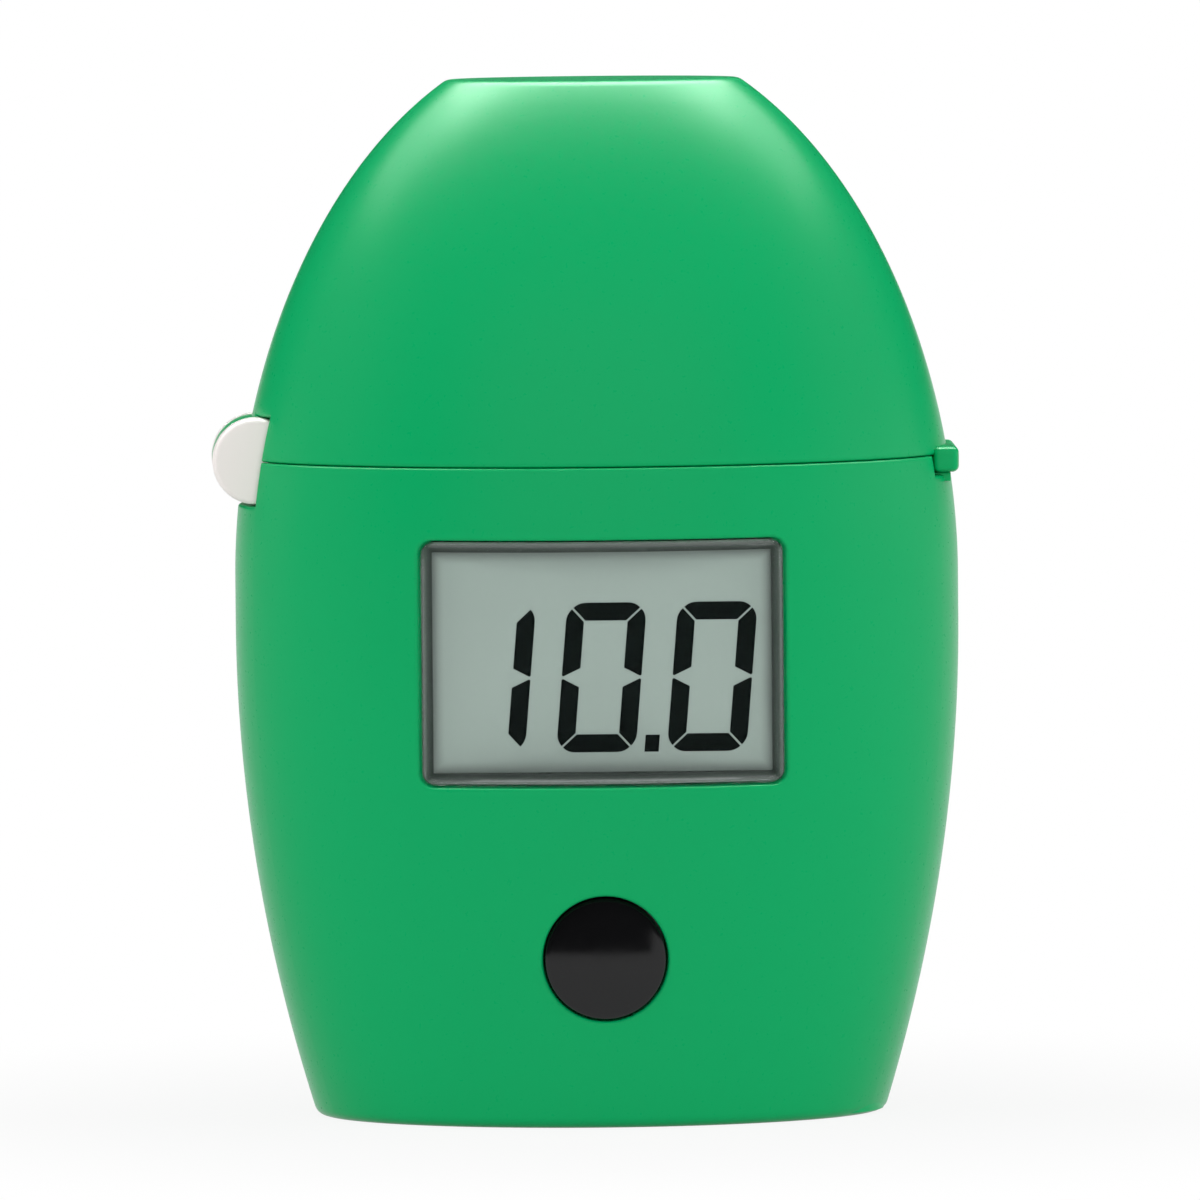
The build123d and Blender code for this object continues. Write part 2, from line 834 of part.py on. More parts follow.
def battery_negative_strip():
    low = floor_thickness
    high = low + contact_thickness
    start = board_half_width - contact_width
    end = board_half_width
    aside = cell_x - board_half_width + contact_width / 2
    foot_end = cell_y - sqrt(tube_bore ** 2 - aside ** 2)
    front = cell_y - tube_radius - contact_gap
    foot = block(start, end, front, foot_end, low, high)
    riser_end = front + contact_thickness
    riser_high = board_low + contact_width
    riser = block(start, end, front, riser_end, low, riser_high)
    tab = block(start, end, -board_back, riser_end, riser_high - contact_thickness, riser_high)
    return foot + riser + tab


def battery_cover():
    plate = SlotCenterToCenter(cover_reach, 2 * cover_half_width)
    cover = Pos(cell_x - cover_reach / 2, cell_y, cover_low) * extrude(plate, cover_thickness)
    spigot_radius = tube_bore - spigot_gap
    spigot = post(cell_x, cell_y, cover_high, cover_high + spigot_height, spigot_radius)
    spigot -= post(
        cell_x, cell_y, cover_high, cover_high + spigot_height, spigot_radius - spigot_wall
    )
    cover += spigot
    cover -= post(cover_screw_x, cell_y, 0, cover_high, screw_radius + screw_hole_gap)
    head_recess = Pos(cover_screw_x, cell_y, cover_low) * Cone(
        screw_head_radius + screw_hole_gap, screw_radius + screw_hole_gap, cover_thickness,
        align=centred_up,
    )
    return cover - head_recess


def battery_cover_screw():
    head = Pos(cover_screw_x, cell_y, cover_low) * Cone(
        screw_head_radius, screw_radius, cover_thickness, align=centred_up
    )
    shank = post(cover_screw_x, cell_y, cover_high, cover_high + screw_length, screw_radius)
    return head + shank


def chassis_screws():
    return Compound([Pos(x, y, deck_top) * screw(screw_length) for x, y in screw_spots])


def pcb_screws():
    screws = []
    for side in (-1, 1):
        place = Plane(origin=(side * board_screw_x, -board_front, board_screw_z), z_dir=(0, -1, 0))
        screws.append(place * screw(board_thickness + leg_thickness - overcut / 2))
    return Compound(screws)


pieces = {
    "body_shell": body_shell,
    "lid_shell": lid_shell,
    "chassis": chassis,
    "hinge_pin": hinge_pin,
    "cuvette_holder": cuvette_holder,
    "light_gasket": light_gasket,
    "lid_liner": lid_liner,
    "display_window": display_window,
    "lcd_frame": lcd_frame,
    "lcd_panel": lcd_panel,
    "lcd_pins": lcd_pins,
    "main_pcb": main_pcb,
    "microcontroller": microcontroller,
    "pcb_components": pcb_components,
    "tact_switch": tact_switch,
    "switch_plunger": switch_plunger,
    "power_button": power_button,
    "led_lamp": led_lamp,
    "bandpass_filter": bandpass_filter,
    "photodetector": photodetector,
    "detector_board": detector_board,
    "battery_cell": battery_cell,
    "battery_spring": battery_spring,
    "battery_positive_contact": battery_positive_contact,
    "battery_negative_strip": battery_negative_strip,
    "battery_cover": battery_cover,
    "battery_cover_screw": battery_cover_screw,
    "chassis_screws": chassis_screws,
    "pcb_screws": pcb_screws,
}

os.makedirs("parts", exist_ok=True)
for name, make in pieces.items():
    export_step(make(), f"parts/{name}.step")
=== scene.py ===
# %% [markdown]
# Pocket colorimeter with a hinged lid.
# The object is an egg-shaped plastic casing that stands on its flat base. Its lid swings about a pin on
# the left, and a clear window, a display and one push button sit in the front.
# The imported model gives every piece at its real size. This lesson dresses those pieces: the casing, the
# pane, the button, the screws and the battery cover are worked out again as finer surfaces, and every
# other piece keeps its mesh and gets its own finish.

# %% Load the frame
import math

import bpy
import numpy as np
from mathutils import Matrix, Vector


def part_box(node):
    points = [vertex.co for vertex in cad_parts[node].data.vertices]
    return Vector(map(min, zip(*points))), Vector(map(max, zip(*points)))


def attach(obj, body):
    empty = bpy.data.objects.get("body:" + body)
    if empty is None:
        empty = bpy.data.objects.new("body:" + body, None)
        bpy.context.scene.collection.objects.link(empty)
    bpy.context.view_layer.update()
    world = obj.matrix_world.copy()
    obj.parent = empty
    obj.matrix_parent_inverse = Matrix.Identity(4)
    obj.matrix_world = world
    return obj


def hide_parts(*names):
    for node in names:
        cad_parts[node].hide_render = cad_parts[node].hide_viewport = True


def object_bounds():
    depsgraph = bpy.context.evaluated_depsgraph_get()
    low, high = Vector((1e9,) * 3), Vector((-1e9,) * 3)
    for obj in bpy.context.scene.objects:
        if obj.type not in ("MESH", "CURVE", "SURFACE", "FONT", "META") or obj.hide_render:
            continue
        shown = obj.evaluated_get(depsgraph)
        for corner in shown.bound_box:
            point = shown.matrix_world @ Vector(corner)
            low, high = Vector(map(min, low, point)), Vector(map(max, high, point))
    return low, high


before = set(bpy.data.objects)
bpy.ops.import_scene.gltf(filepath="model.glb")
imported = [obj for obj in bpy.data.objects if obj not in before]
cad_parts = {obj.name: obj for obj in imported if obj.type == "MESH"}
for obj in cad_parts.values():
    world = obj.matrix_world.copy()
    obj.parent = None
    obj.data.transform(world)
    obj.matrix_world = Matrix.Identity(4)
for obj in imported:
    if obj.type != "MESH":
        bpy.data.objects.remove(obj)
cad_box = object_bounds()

MM = 0.001


def node_box(node):
    """Lowest and highest corner of a node, in millimetres."""
    low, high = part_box(node)
    return np.array(low) / MM, np.array(high) / MM


# %% [markdown]
# The casing is an egg whose level sections are ellipses. Below the belly the half width falls off as a
# parabola, and above the shoulder it follows a power curve that would close a little above the crown,
# so the top is cut flat. The same two curves with other powers give the half depth.

# %% Driving sizes of the casing
body_high = node_box("body_shell")[1]
total_height = cad_box[1].z / MM
widest_half_width = body_high[0]
widest_half_depth = body_high[1]
base_draw_width = 6.43
base_draw_depth = 2.35
belly_height = 41.0
shoulder_height = 45.0
crown_overrun = 4.0
width_power = 1.9
width_root = 0.5
depth_power = 2.1
depth_root = 0.75
wall = 1.7
parting_gap = 0.2
parting_height = body_high[2] + parting_gap / 2
seam_gap = 0.06
rim_top = parting_height - seam_gap / 2
lid_low = parting_height + seam_gap / 2
base_edge_radius = 1.0
crown_edge_radius = 1.3
edge_round = 0.26
print("casing", round(2 * widest_half_width, 2), round(2 * widest_half_depth, 2), round(total_height, 2))


# %% Outline of the casing
def outline(z, widest, draw, power, root):
    """Half size at a height: the widest size less a parabola below the belly, a power curve above."""
    low = widest - draw * np.maximum(0.0, 1 - z / belly_height) ** 2
    rise = (z - shoulder_height) / (total_height + crown_overrun - shoulder_height)
    high = widest * (1 - np.clip(rise, 0, 1) ** power) ** root
    return np.minimum(low, high)


def half_width(z):
    """Half width of the casing at a height."""
    return outline(z, widest_half_width, base_draw_width, width_power, width_root)


def half_depth(z):
    """Half depth of the casing at a height."""
    return outline(z, widest_half_depth, base_draw_depth, depth_power, depth_root)


def edge_draw(profile, z, level, inside, radius):
    """How far a round edge of a radius draws the outline in near the flat at a level.
    The side leans by its slope, and the round is an arc that touches the side and the flat."""
    step = 0.01
    slope = abs(profile(level + inside * step) - profile(level + inside * radius)) / (radius - step)
    lean = np.arctan(slope)
    depth = np.abs(z - level)
    reach = radius * (1 - np.sin(lean))
    fall = np.minimum(depth, radius)
    drawn = radius / np.cos(lean) - (radius - fall) * slope
    drawn = drawn - np.sqrt(np.maximum(0, radius ** 2 - (radius - fall) ** 2))
    return np.where(depth < reach, np.maximum(drawn, 0), 0)


def rounded_outline(profile, z):
    """Half size with the round edges at the base and the crown taken off."""
    base = edge_draw(profile, z, 0.0, 1, base_edge_radius)
    crown = edge_draw(profile, z, total_height, -1, crown_edge_radius)
    return profile(z) - base - crown


def surface_depth(x, z, inset=0.0):
    """How far the casing surface, drawn in by an inset, stands in front of the middle plane."""
    across = half_width(z) - inset
    return (half_depth(z) - inset) * np.sqrt(np.maximum(0, 1 - (x / across) ** 2))


# %% [markdown]
# A mesh here is two arrays: points, and faces as rows of point numbers. A skin is only the outer side of
# a moulded wall. To make the wall, each point is copied inwards along its normal, and the two sides are
# joined along every open border by a small round edge. The borders are found by counting: an edge that
# belongs to one face only lies on a border.

# %% Skin to wall
def face_normals(points, faces):
    """Normal of each four-cornered face, from its diagonals."""
    first = points[faces[:, 2]] - points[faces[:, 0]]
    second = points[faces[:, 3]] - points[faces[:, 1]]
    return np.cross(first, second)


def point_normals(points, faces):
    """Unit normal of each point: the sum of its faces' normals, which weighs them by area."""
    normals = np.zeros_like(points)
    flat = face_normals(points, faces)
    for corner in range(4):
        np.add.at(normals, faces[:, corner], flat)
    return normals / np.maximum(np.linalg.norm(normals, axis=1, keepdims=True), 1e-12)


def border_edges(faces):
    """Directed edges that belong to one face only."""
    edges = np.concatenate([faces[:, [k, (k + 1) % 4]] for k in range(4)])
    edges = edges[edges[:, 0] != edges[:, 1]]
    key = np.sort(edges, axis=1)
    code = key[:, 0] * (faces.max() + 1) + key[:, 1]
    _, place, count = np.unique(code, return_inverse=True, return_counts=True)
    return edges[count[place] == 1]


def border_outward(points, normals, edges):
    """For each border point, the direction in the surface that leads away from it, mitred at corners."""
    along = points[edges[:, 1]] - points[edges[:, 0]]
    along /= np.maximum(np.linalg.norm(along, axis=1, keepdims=True), 1e-12)
    total = np.zeros_like(points)
    for end in (0, 1):
        sideways = np.cross(along, normals[edges[:, end]])
        sideways /= np.maximum(np.linalg.norm(sideways, axis=1, keepdims=True), 1e-12)
        np.add.at(total, edges[:, end], sideways)
    square = np.maximum(np.sum(total ** 2, axis=1, keepdims=True), 0.5)
    return 2 * total / square


def thicken(points, faces, thickness, radius, steps=4):
    """Closed wall from an outer skin, with round edges along its borders.
    An edge point turns by an angle a: it lies at the border point, less radius (1 - cos a) along the
    normal, plus radius sin a along the direction that leads away from the border."""
    normals = point_normals(points, faces)
    inner = points - thickness * normals
    edges = border_edges(faces)
    away = border_outward(points, normals, edges)
    count = len(points)
    rim = np.unique(edges)
    spot = np.full(count, -1)
    spot[rim] = np.arange(len(rim))
    rings = []
    for step in range(1, steps + 1):
        turn = 0.5 * math.pi * step / steps
        drop = radius * (1 - math.cos(turn))
        rings.append(points[rim] - drop * normals[rim] + radius * math.sin(turn) * away[rim])
    for step in range(steps, 0, -1):
        turn = 0.5 * math.pi * step / steps
        drop = radius * (1 - math.cos(turn))
        rings.append(inner[rim] + drop * normals[rim] + radius * math.sin(turn) * away[rim])
    starts = [None] + [2 * count + k * len(rim) for k in range(len(rings))] + [None]
    new_faces = [faces, faces[:, ::-1] + count]
    first = edges[:, 0]
    second = edges[:, 1]
    rows = [(first, second)]
    rows += [(spot[first] + start, spot[second] + start) for start in starts[1:-1]]
    rows += [(first + count, second + count)]
    for (a, b), (c, d) in zip(rows[:-1], rows[1:]):
        new_faces.append(np.stack([b, a, c, d], axis=1))
    return np.concatenate([points, inner] + rings), np.concatenate(new_faces)


# %% Arrays to a Blender object
def face_lists(faces):
    """Faces as lists of point numbers. A face with a repeated point, at a pole, becomes a triangle."""
    repeats = (faces == np.roll(faces, -1, axis=1)).any(axis=1)
    at_poles = [list(dict.fromkeys(face)) for face in faces[repeats].tolist()]
    return faces[~repeats].tolist() + at_poles


def plain_object(name, points, faces):
    """Object from points in metres and lists of faces, with its place in its mesh."""
    mesh = bpy.data.meshes.new(name)
    mesh.from_pydata(points.tolist(), [], faces)
    obj = bpy.data.objects.new(name, mesh)
    bpy.context.scene.collection.objects.link(obj)
    return obj


def add_object(name, points, faces, smooth_angle=40.0):
    """Smooth object from arrays in millimetres. Its volume is above zero if its faces point outwards."""
    obj = plain_object(name, points * MM, face_lists(faces))
    mesh = obj.data
    mesh.validate()
    mesh.update()
    mesh.shade_smooth()
    mesh.set_sharp_from_angle(angle=math.radians(smooth_angle))
    first, second, third, fourth = (points[faces[:, corner]] for corner in range(4))
    volume = np.sum(np.cross(first, second) * third) + np.sum(np.cross(first, third) * fourth)
    print(name, len(mesh.polygons), "faces, volume", round(volume / 6), "mm3")
    return obj


def stands_for(piece, body, node):
    """Ties a finished piece to its body, and hides the node that it replaces."""
    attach(piece, body)
    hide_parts(node)


def fitted_on(piece, body):
    """Ties a piece that adds to a node, and hides none, to its body."""
    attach(piece, body)


def join(*parts):
    """Several point and face arrays as one."""
    shift = 0
    points = []
    faces = []
    for part_points, part_faces in parts:
        points.append(part_points)
        faces.append(np.asarray(part_faces) + shift)
        shift += len(part_points)
    return np.concatenate(points), np.concatenate(faces)


def table_faces(index, closed=False, flip=False):
    """Four-cornered faces between neighbours in a table of point numbers, closed round if asked."""
    if closed:
        index = np.concatenate([index, index[:, :1]], axis=1)
    corners = [index[:-1, :-1], index[:-1, 1:], index[1:, 1:], index[1:, :-1]]
    if flip:
        corners = corners[::-1]
    return np.stack([corner.ravel() for corner in corners], axis=1)


def grid_faces(rows, columns, closed=False, flip=False):
    """Faces of a grid whose points are numbered row after row."""
    return table_faces(np.arange(rows * columns).reshape(rows, columns), closed, flip)


def ring_faces(border, rings, first_number):
    """Faces between a border and rings of as many points, which are numbered from a first number on."""
    numbers = first_number + np.arange(rings * len(border)).reshape(rings, len(border))
    numbers = np.concatenate([border[None, :], numbers])
    return np.roll(table_faces(numbers, closed=True, flip=True), 1, axis=1)


# %% [markdown]
# The window and the button hole have outlines that no plain grid follows. Round each of them a block of
# the casing's grid is left out, and a ring of faces fills it: its outer side is the block's own border,
# and its inner side is the hole. Each ring point belongs to one border point of the block, so the two
# meshes share their points and the casing stays in one piece.

# %% Outlines of holes
def rounded_rectangle(u, v, half_x, half_y, corner):
    """Point of a rounded rectangle for a point of the square with sides at -1 and 1.
    Along each side, the last stretch before the corner turns into half of the corner's arc."""
    x = u * half_x
    y = v * half_y
    on_side = np.abs(u) >= np.abs(v)
    left_over = np.where(on_side, half_y - np.abs(y), half_x - np.abs(x))
    turn = math.radians(45) * (1 - np.clip(left_over / corner, 0, 1))
    turn = np.where(on_side, turn, math.radians(90) - turn)
    near = left_over < corner
    arc_x = half_x - corner + corner * np.cos(turn)
    arc_y = half_y - corner + corner * np.sin(turn)
    return np.where(near, np.sign(x) * arc_x, x), np.where(near, np.sign(y) * arc_y, y)


def circle(u, v, radius):
    """Point of a circle for a point of the square: an eighth turn for each half side."""
    on_side = np.abs(u) >= np.abs(v)
    along_side = v / np.where(u == 0, 1, np.abs(u))
    along_top = u / np.where(v == 0, 1, np.abs(v))
    turn = math.radians(45) * np.where(on_side, along_side, along_top)
    x = np.where(on_side, np.sign(u) * np.cos(turn), np.sin(turn))
    y = np.where(on_side, np.sin(turn), np.sign(v) * np.cos(turn))
    return radius * x, radius * y


def stretch(*stops):
    """Evenly divided stretches between stops: value, divisions, value, divisions, value."""
    values = stops[::2]
    parts = [np.linspace(a, b, n + 1)[:-1] for a, b, n in zip(values, values[1:], stops[1::2])]
    return np.concatenate(parts + [[values[-1]]])


def block_border(row_low, row_high, column_low, column_high, columns):
    """Point numbers round a block of the grid, clockwise from its first corner."""
    across = np.arange(column_low, column_high)
    down = np.arange(row_low, row_high)
    first = row_low * columns + across
    second = down * columns + column_high
    third = row_high * columns + np.arange(column_high, column_low, -1)
    fourth = np.arange(row_high, row_low, -1) * columns + column_low
    return np.concatenate([first, second, third, fourth])


# %% Places of the window, the button, the hinge and the catch
pane_fit = 0.12
pane_low, pane_high = node_box("display_window")
window_half_width = (pane_high[0] - pane_low[0]) / 2 + pane_fit
window_half_height = (pane_high[2] - pane_low[2]) / 2 + pane_fit
window_height = (pane_high[2] + pane_low[2]) / 2
window_corner = 1.2
button_low, button_high = node_box("power_button")
button_height = (button_high[2] + button_low[2]) / 2
button_radius = 5.0
button_hole_gap = 0.2
pin_low, pin_high = node_box("hinge_pin")
hinge_x = (pin_low[0] + pin_high[0]) / 2
hinge_z = (pin_low[2] + pin_high[2]) / 2
knuckle_radius = 3.55
hinge_half_length = 5.0
lid_knuckle_half_length = 2.35
hinge_gap = 0.35
slot_gap = 0.14
catch_outer = node_box("lid_shell")[1][0]
catch_half_length = 5.4
catch_height_above = 0.7
catch_depth_below = 1.45
catch_low = parting_height - catch_depth_below
catch_gap = 0.22
print("window", round(window_height, 2), "button", round(button_height, 2), "hinge", round(hinge_x, 3))

# %% [markdown]
# The grid's columns stand on the casing from the base to the rim. Across the front they are lines of
# equal x, so the window and the button fit them. At the two sides they are lines of equal y, so the
# hinge's cut-out and the catch's notch fit them. Between those zones the angle is shared out evenly.

# %% Columns of the body
window_margin = 1.4
side_zone = 7.5
window_block_half_width = window_half_width + window_margin
window_block_half_height = window_half_height + window_margin
button_block_half = 8.0
before_edge = 0.2


def mirrored(half):
    """Values on both sides of the middle, from the values on one side, which start at the middle."""
    return np.concatenate([-half[:0:-1], half])


window_side_line = window_half_width - before_edge
front_lines = stretch(0, 10, button_block_half, 10, window_side_line, 8, window_block_half_width)
front_lines = mirrored(front_lines)
hinge_cut_half = hinge_half_length + hinge_gap
notch_half = catch_half_length + catch_gap


def side_lines(*marks):
    """Lines of equal y, from front to back, that pass through the given distances from the middle."""
    stops = []
    for value, divisions in marks:
        stops += [value, divisions]
    return mirrored(stretch(*stops, side_zone))


def front_angle(x, z):
    """Angle from the front whose point stands at x."""
    return np.arcsin(np.clip(x / half_width(z), -1, 1))


def side_angle(y, z):
    """Angle from the front, on the right, whose point stands at y."""
    return np.arccos(np.clip(-y / half_depth(z), -1, 1))


def between(first, last, divisions):
    """Inner angles between two border angles, evenly shared, for every row at once."""
    share = np.arange(1, divisions) / divisions
    return first[:, None] * (1 - share) + last[:, None] * share


def ellipse_grid(z, angles):
    """Points of the casing for a row of heights and a table of angles from the front."""
    x = rounded_outline(half_width, z)[:, None] * np.sin(angles)
    y = -rounded_outline(half_depth, z)[:, None] * np.cos(angles)
    return np.stack([x, y, np.broadcast_to(z[:, None], x.shape)], axis=2)


support = 0.15


def supported_lines(half):
    """Lines across a cut-out and beside it. The one close to its edge keeps the wall's shading even."""
    return side_lines((0, 7), (half + edge_round, 1), (half + edge_round + support, 3))


right_lines = supported_lines(notch_half)
left_lines = supported_lines(hinge_cut_half)
blend_divisions = 18
back_divisions = 54

# %% Rows of the body
skin_top = rim_top - edge_round
hinge_cut_low = hinge_z - knuckle_radius - hinge_gap / 2 - edge_round
notch_low = catch_low - catch_gap - edge_round
window_top = window_height + window_block_half_height
window_base = window_height - window_block_half_height
button_top = button_height + button_block_half
button_base = button_height - button_block_half
rows_above = stretch(
    skin_top, 1, skin_top - support, 4, notch_low, 1, notch_low - support, 4, hinge_cut_low, 1,
    hinge_cut_low - support, 2, window_top,
)
window_rows = stretch(0, 12, window_half_height - before_edge, 8, window_block_half_height)
window_rows = window_height - mirrored(window_rows)
rows_middle = stretch(window_base, 6, button_top)
rows_button = stretch(button_top, 20, button_base)
rows_low = stretch(button_base, 8, base_edge_radius)
turns = np.linspace(0, math.pi / 2, 9)
rows_base = base_edge_radius * (1 - np.sin(turns))
further_rows = (window_rows, rows_middle, rows_button, rows_low, rows_base)
body_rows = np.concatenate([rows_above] + [rows[1:] for rows in further_rows])
body_rows[-1] = 0.0


# %% Grid of the body
def body_angles(z):
    """Angle of every column, for a row of heights: front, right blend, right, back, left, left blend."""
    front = front_angle(front_lines[None, :], z[:, None])
    right = side_angle(right_lines[None, :], z[:, None])
    left = 2 * math.pi - side_angle(left_lines[::-1][None, :], z[:, None])
    first = between(front[:, -1], right[:, 0], blend_divisions)
    back = between(right[:, -1], left[:, 0], back_divisions)
    last = between(left[:, -1], 2 * math.pi + front[:, 0], blend_divisions)
    return np.concatenate([front, first, right, back, left, last], axis=1)


body_grid = ellipse_grid(body_rows, body_angles(body_rows))
row_count, column_count, _ = body_grid.shape
right_start = len(front_lines) + blend_divisions - 1
left_start = right_start + len(right_lines) + back_divisions - 1
print("body grid", row_count, "rows", column_count, "columns")


def nearest(values, target):
    """Place of the value that is nearest to a target."""
    return int(np.argmin(np.abs(np.asarray(values) - target)))


def grid_block(top, base, start, lines, half):
    """First and last row, and first and last column, of a block between two heights and two lines."""
    columns = sorted((nearest(lines, -half), nearest(lines, half)))
    return nearest(body_rows, top), nearest(body_rows, base), start + columns[0], start + columns[1]


hinge_lines = left_lines[::-1]
window_block = grid_block(window_top, window_base, 0, front_lines, window_block_half_width)
button_block = grid_block(button_top, button_base, 0, front_lines, button_block_half)
notch_block = grid_block(skin_top, notch_low, right_start, right_lines, notch_half + edge_round)
hinge_block = grid_block(skin_top, hinge_cut_low, left_start, hinge_lines, hinge_cut_half + edge_round)
print("blocks", window_block, button_block, notch_block, hinge_block)


def kept_faces(rows, columns, blocks):
    """Faces of the grid, less those inside the blocks."""
    keep = np.ones((rows - 1, columns), bool)
    for row_low, row_high, column_low, column_high in blocks:
        keep[row_low:row_high, column_low:column_high] = False
    return grid_faces(rows, columns, closed=True, flip=True)[keep.ravel()]


# %% Rings round the window and the button
ring_shares = np.array([0.3, 0.55, 0.75, 0.88, 0.96, 1.0])


def hole_ring(grid, block, middle, half_x, half_z, outline_of_hole, first_number):
    """Rings of points from a block's border to a hole, each lifted onto the casing's front."""
    border = block_border(*block, grid.shape[1])
    outer = grid.reshape(-1, 3)[border]
    u = outer[:, 0] / half_x
    v = (outer[:, 2] - middle) / half_z
    hole_x, hole_z = outline_of_hole(u, v)
    share = ring_shares[:, None]
    x = outer[:, 0] * (1 - share) + hole_x * share
    z = outer[:, 2] * (1 - share) + (middle + hole_z) * share
    points = np.stack([x, -surface_depth(x, z), z], axis=2).reshape(-1, 3)
    return points, ring_faces(border, len(ring_shares), first_number)


def window_hole(u, v):
    """Outline of the window opening, as wide as the opening and its round edge."""
    half_x, half_z = window_half_width + edge_round, window_half_height + edge_round
    return rounded_rectangle(u, v, half_x, half_z, window_corner + edge_round)


def button_hole(u, v):
    """Outline of the button's hole, as wide as the hole and its round edge."""
    return circle(u, v, button_radius + button_hole_gap + edge_round)


# %% [markdown]
# The base is a flat that runs from the round edge inwards to the battery opening. The opening is a slot
# with round ends, and a ray from the slot's middle meets it at one distance for each direction, so the
# same columns run on over the base, down the slot's wall and to the round bore for the cell.

# %% Rings of the base
cover_low, cover_high = node_box("battery_cover")
cell_low_corner, cell_high_corner = node_box("battery_cell")
cell_x = (cell_low_corner[0] + cell_high_corner[0]) / 2
cell_y = (cell_low_corner[1] + cell_high_corner[1]) / 2
cell_radius = (cell_high_corner[0] - cell_low_corner[0]) / 2
cell_clearance = 0.4
tube_bore = cell_radius + cell_clearance
cover_gap = 0.15
cover_land = 0.65
cover_recess = 1.2
cover_x = (cover_low[0] + cover_high[0]) / 2
cover_y = cell_y
slot_radius = tube_bore + cover_land + cover_gap
slot_reach = (cover_high[0] - cover_low[0]) / 2 + cover_gap - slot_radius


def slot_distance(turn, radius, reach, off=0.0):
    """Distance in a direction to the outline of a slot, from a point on its middle line that may lie
    off its middle: to a straight side, or to the arc of the end on that side."""
    c, s = np.cos(turn), np.sin(turn)
    straight = radius / np.maximum(np.abs(s), 1e-9)
    along = off + straight * c
    to_end = np.sign(along) * reach - off
    end = to_end * c + np.sqrt(np.maximum(0, radius ** 2 - (to_end * s) ** 2))
    return np.where(np.abs(along) <= reach, straight, end)


def bore_distance(turn, radius):
    """Distance from the slot's middle to the bore for the cell, which lies off to the right."""
    off = cell_x - cover_x
    return off * np.cos(turn) + np.sqrt(radius ** 2 - (off * np.sin(turn)) ** 2)


base_ring = body_grid[-1]
turn = np.arctan2(base_ring[:, 1] - cover_y, base_ring[:, 0] - cover_x)


def base_points(distance, z):
    """Ring on the base at a distance from the slot's middle in each column's direction."""
    x = cover_x + distance * np.cos(turn)
    y = cover_y + distance * np.sin(turn)
    return np.stack([x, y, np.full_like(x, z)], axis=1)


def rings_between(first, last, shares, z):
    """Rings at shares of the way between two tables of distances, all at one height."""
    return [base_points(first * (1 - share) + last * share, z) for share in shares]


slot_edge = slot_distance(turn, slot_radius + edge_round, slot_reach)
slot_wall = slot_distance(turn, slot_radius, slot_reach)
base_edge = np.hypot(base_ring[:, 0] - cover_x, base_ring[:, 1] - cover_y)
base_rings = rings_between(base_edge, slot_edge, (0.04, 0.15, 0.35, 0.6, 0.85, 0.97, 1.0), 0.0)
for step in range(1, 5):
    angle = 0.5 * math.pi * step / 4
    distance = slot_edge + (slot_wall - slot_edge) * math.sin(angle)
    base_rings.append(base_points(distance, edge_round * (1 - math.cos(angle))))
base_rings.append(base_points(slot_wall, cover_recess))
bore_edge = bore_distance(turn, tube_bore + edge_round)
base_rings += rings_between(slot_wall, bore_edge, (0.05, 0.5, 0.95, 1.0), cover_recess)
print("base rings", len(base_rings))

# %% Body of the casing
full_grid = np.concatenate([body_grid, np.stack(base_rings)])
points = full_grid.reshape(-1, 3)
faces = kept_faces(len(full_grid), column_count, [window_block, button_block, notch_block, hinge_block])
window_points, window_faces = hole_ring(
    body_grid, window_block, window_height, window_block_half_width, window_block_half_height,
    window_hole, len(points),
)
button_points, button_faces = hole_ring(
    body_grid, button_block, button_height, button_block_half, button_block_half,
    button_hole, len(points) + len(window_points),
)
points = np.concatenate([points, window_points, button_points])
faces = np.concatenate([faces, window_faces, button_faces])
used = np.unique(faces)
renumber = np.zeros(len(points), int)
renumber[used] = np.arange(len(used))
body_skin = points[used], renumber[faces]
outward = point_normals(*body_skin)
print("front normal", outward[np.argmin(body_skin[0][:, 1])])
body_points, body_faces = thicken(*body_skin, wall, edge_round)

# %% [markdown]
# The lid is the upper part of the same egg. Its front has no holes, so the columns share the angle
# evenly there, and only the hinge side needs lines of equal y. Above the hinge those lines draw together
# with the casing. Two slots beside the lid's own knuckle leave room for the white knuckles.

# %% Grid of the lid
slot_start = lid_knuckle_half_length - edge_round
slot_end = hinge_half_length + hinge_gap + edge_round
slot_top = hinge_z + knuckle_radius + slot_gap + edge_round
lid_side_lines = side_lines((0, 4), (slot_start, 8), (slot_end, 3))
lid_front_divisions = 64
lid_back_divisions = 64


def lid_angles(z):
    """Angle of every column of the lid, for a row of heights."""
    draw_in = np.minimum(1.0, half_depth(z) / half_depth(np.array([slot_top])))
    y = lid_side_lines[None, :] * draw_in[:, None]
    right = np.arccos(np.clip(-y / half_depth(z)[:, None], -1, 1))
    left = 2 * math.pi - right[:, ::-1]
    front = between(left[:, -1] - 2 * math.pi, right[:, 0], lid_front_divisions)
    back = between(right[:, -1], left[:, 0], lid_back_divisions)
    return np.concatenate([right, back, left, front + 2 * math.pi], axis=1)


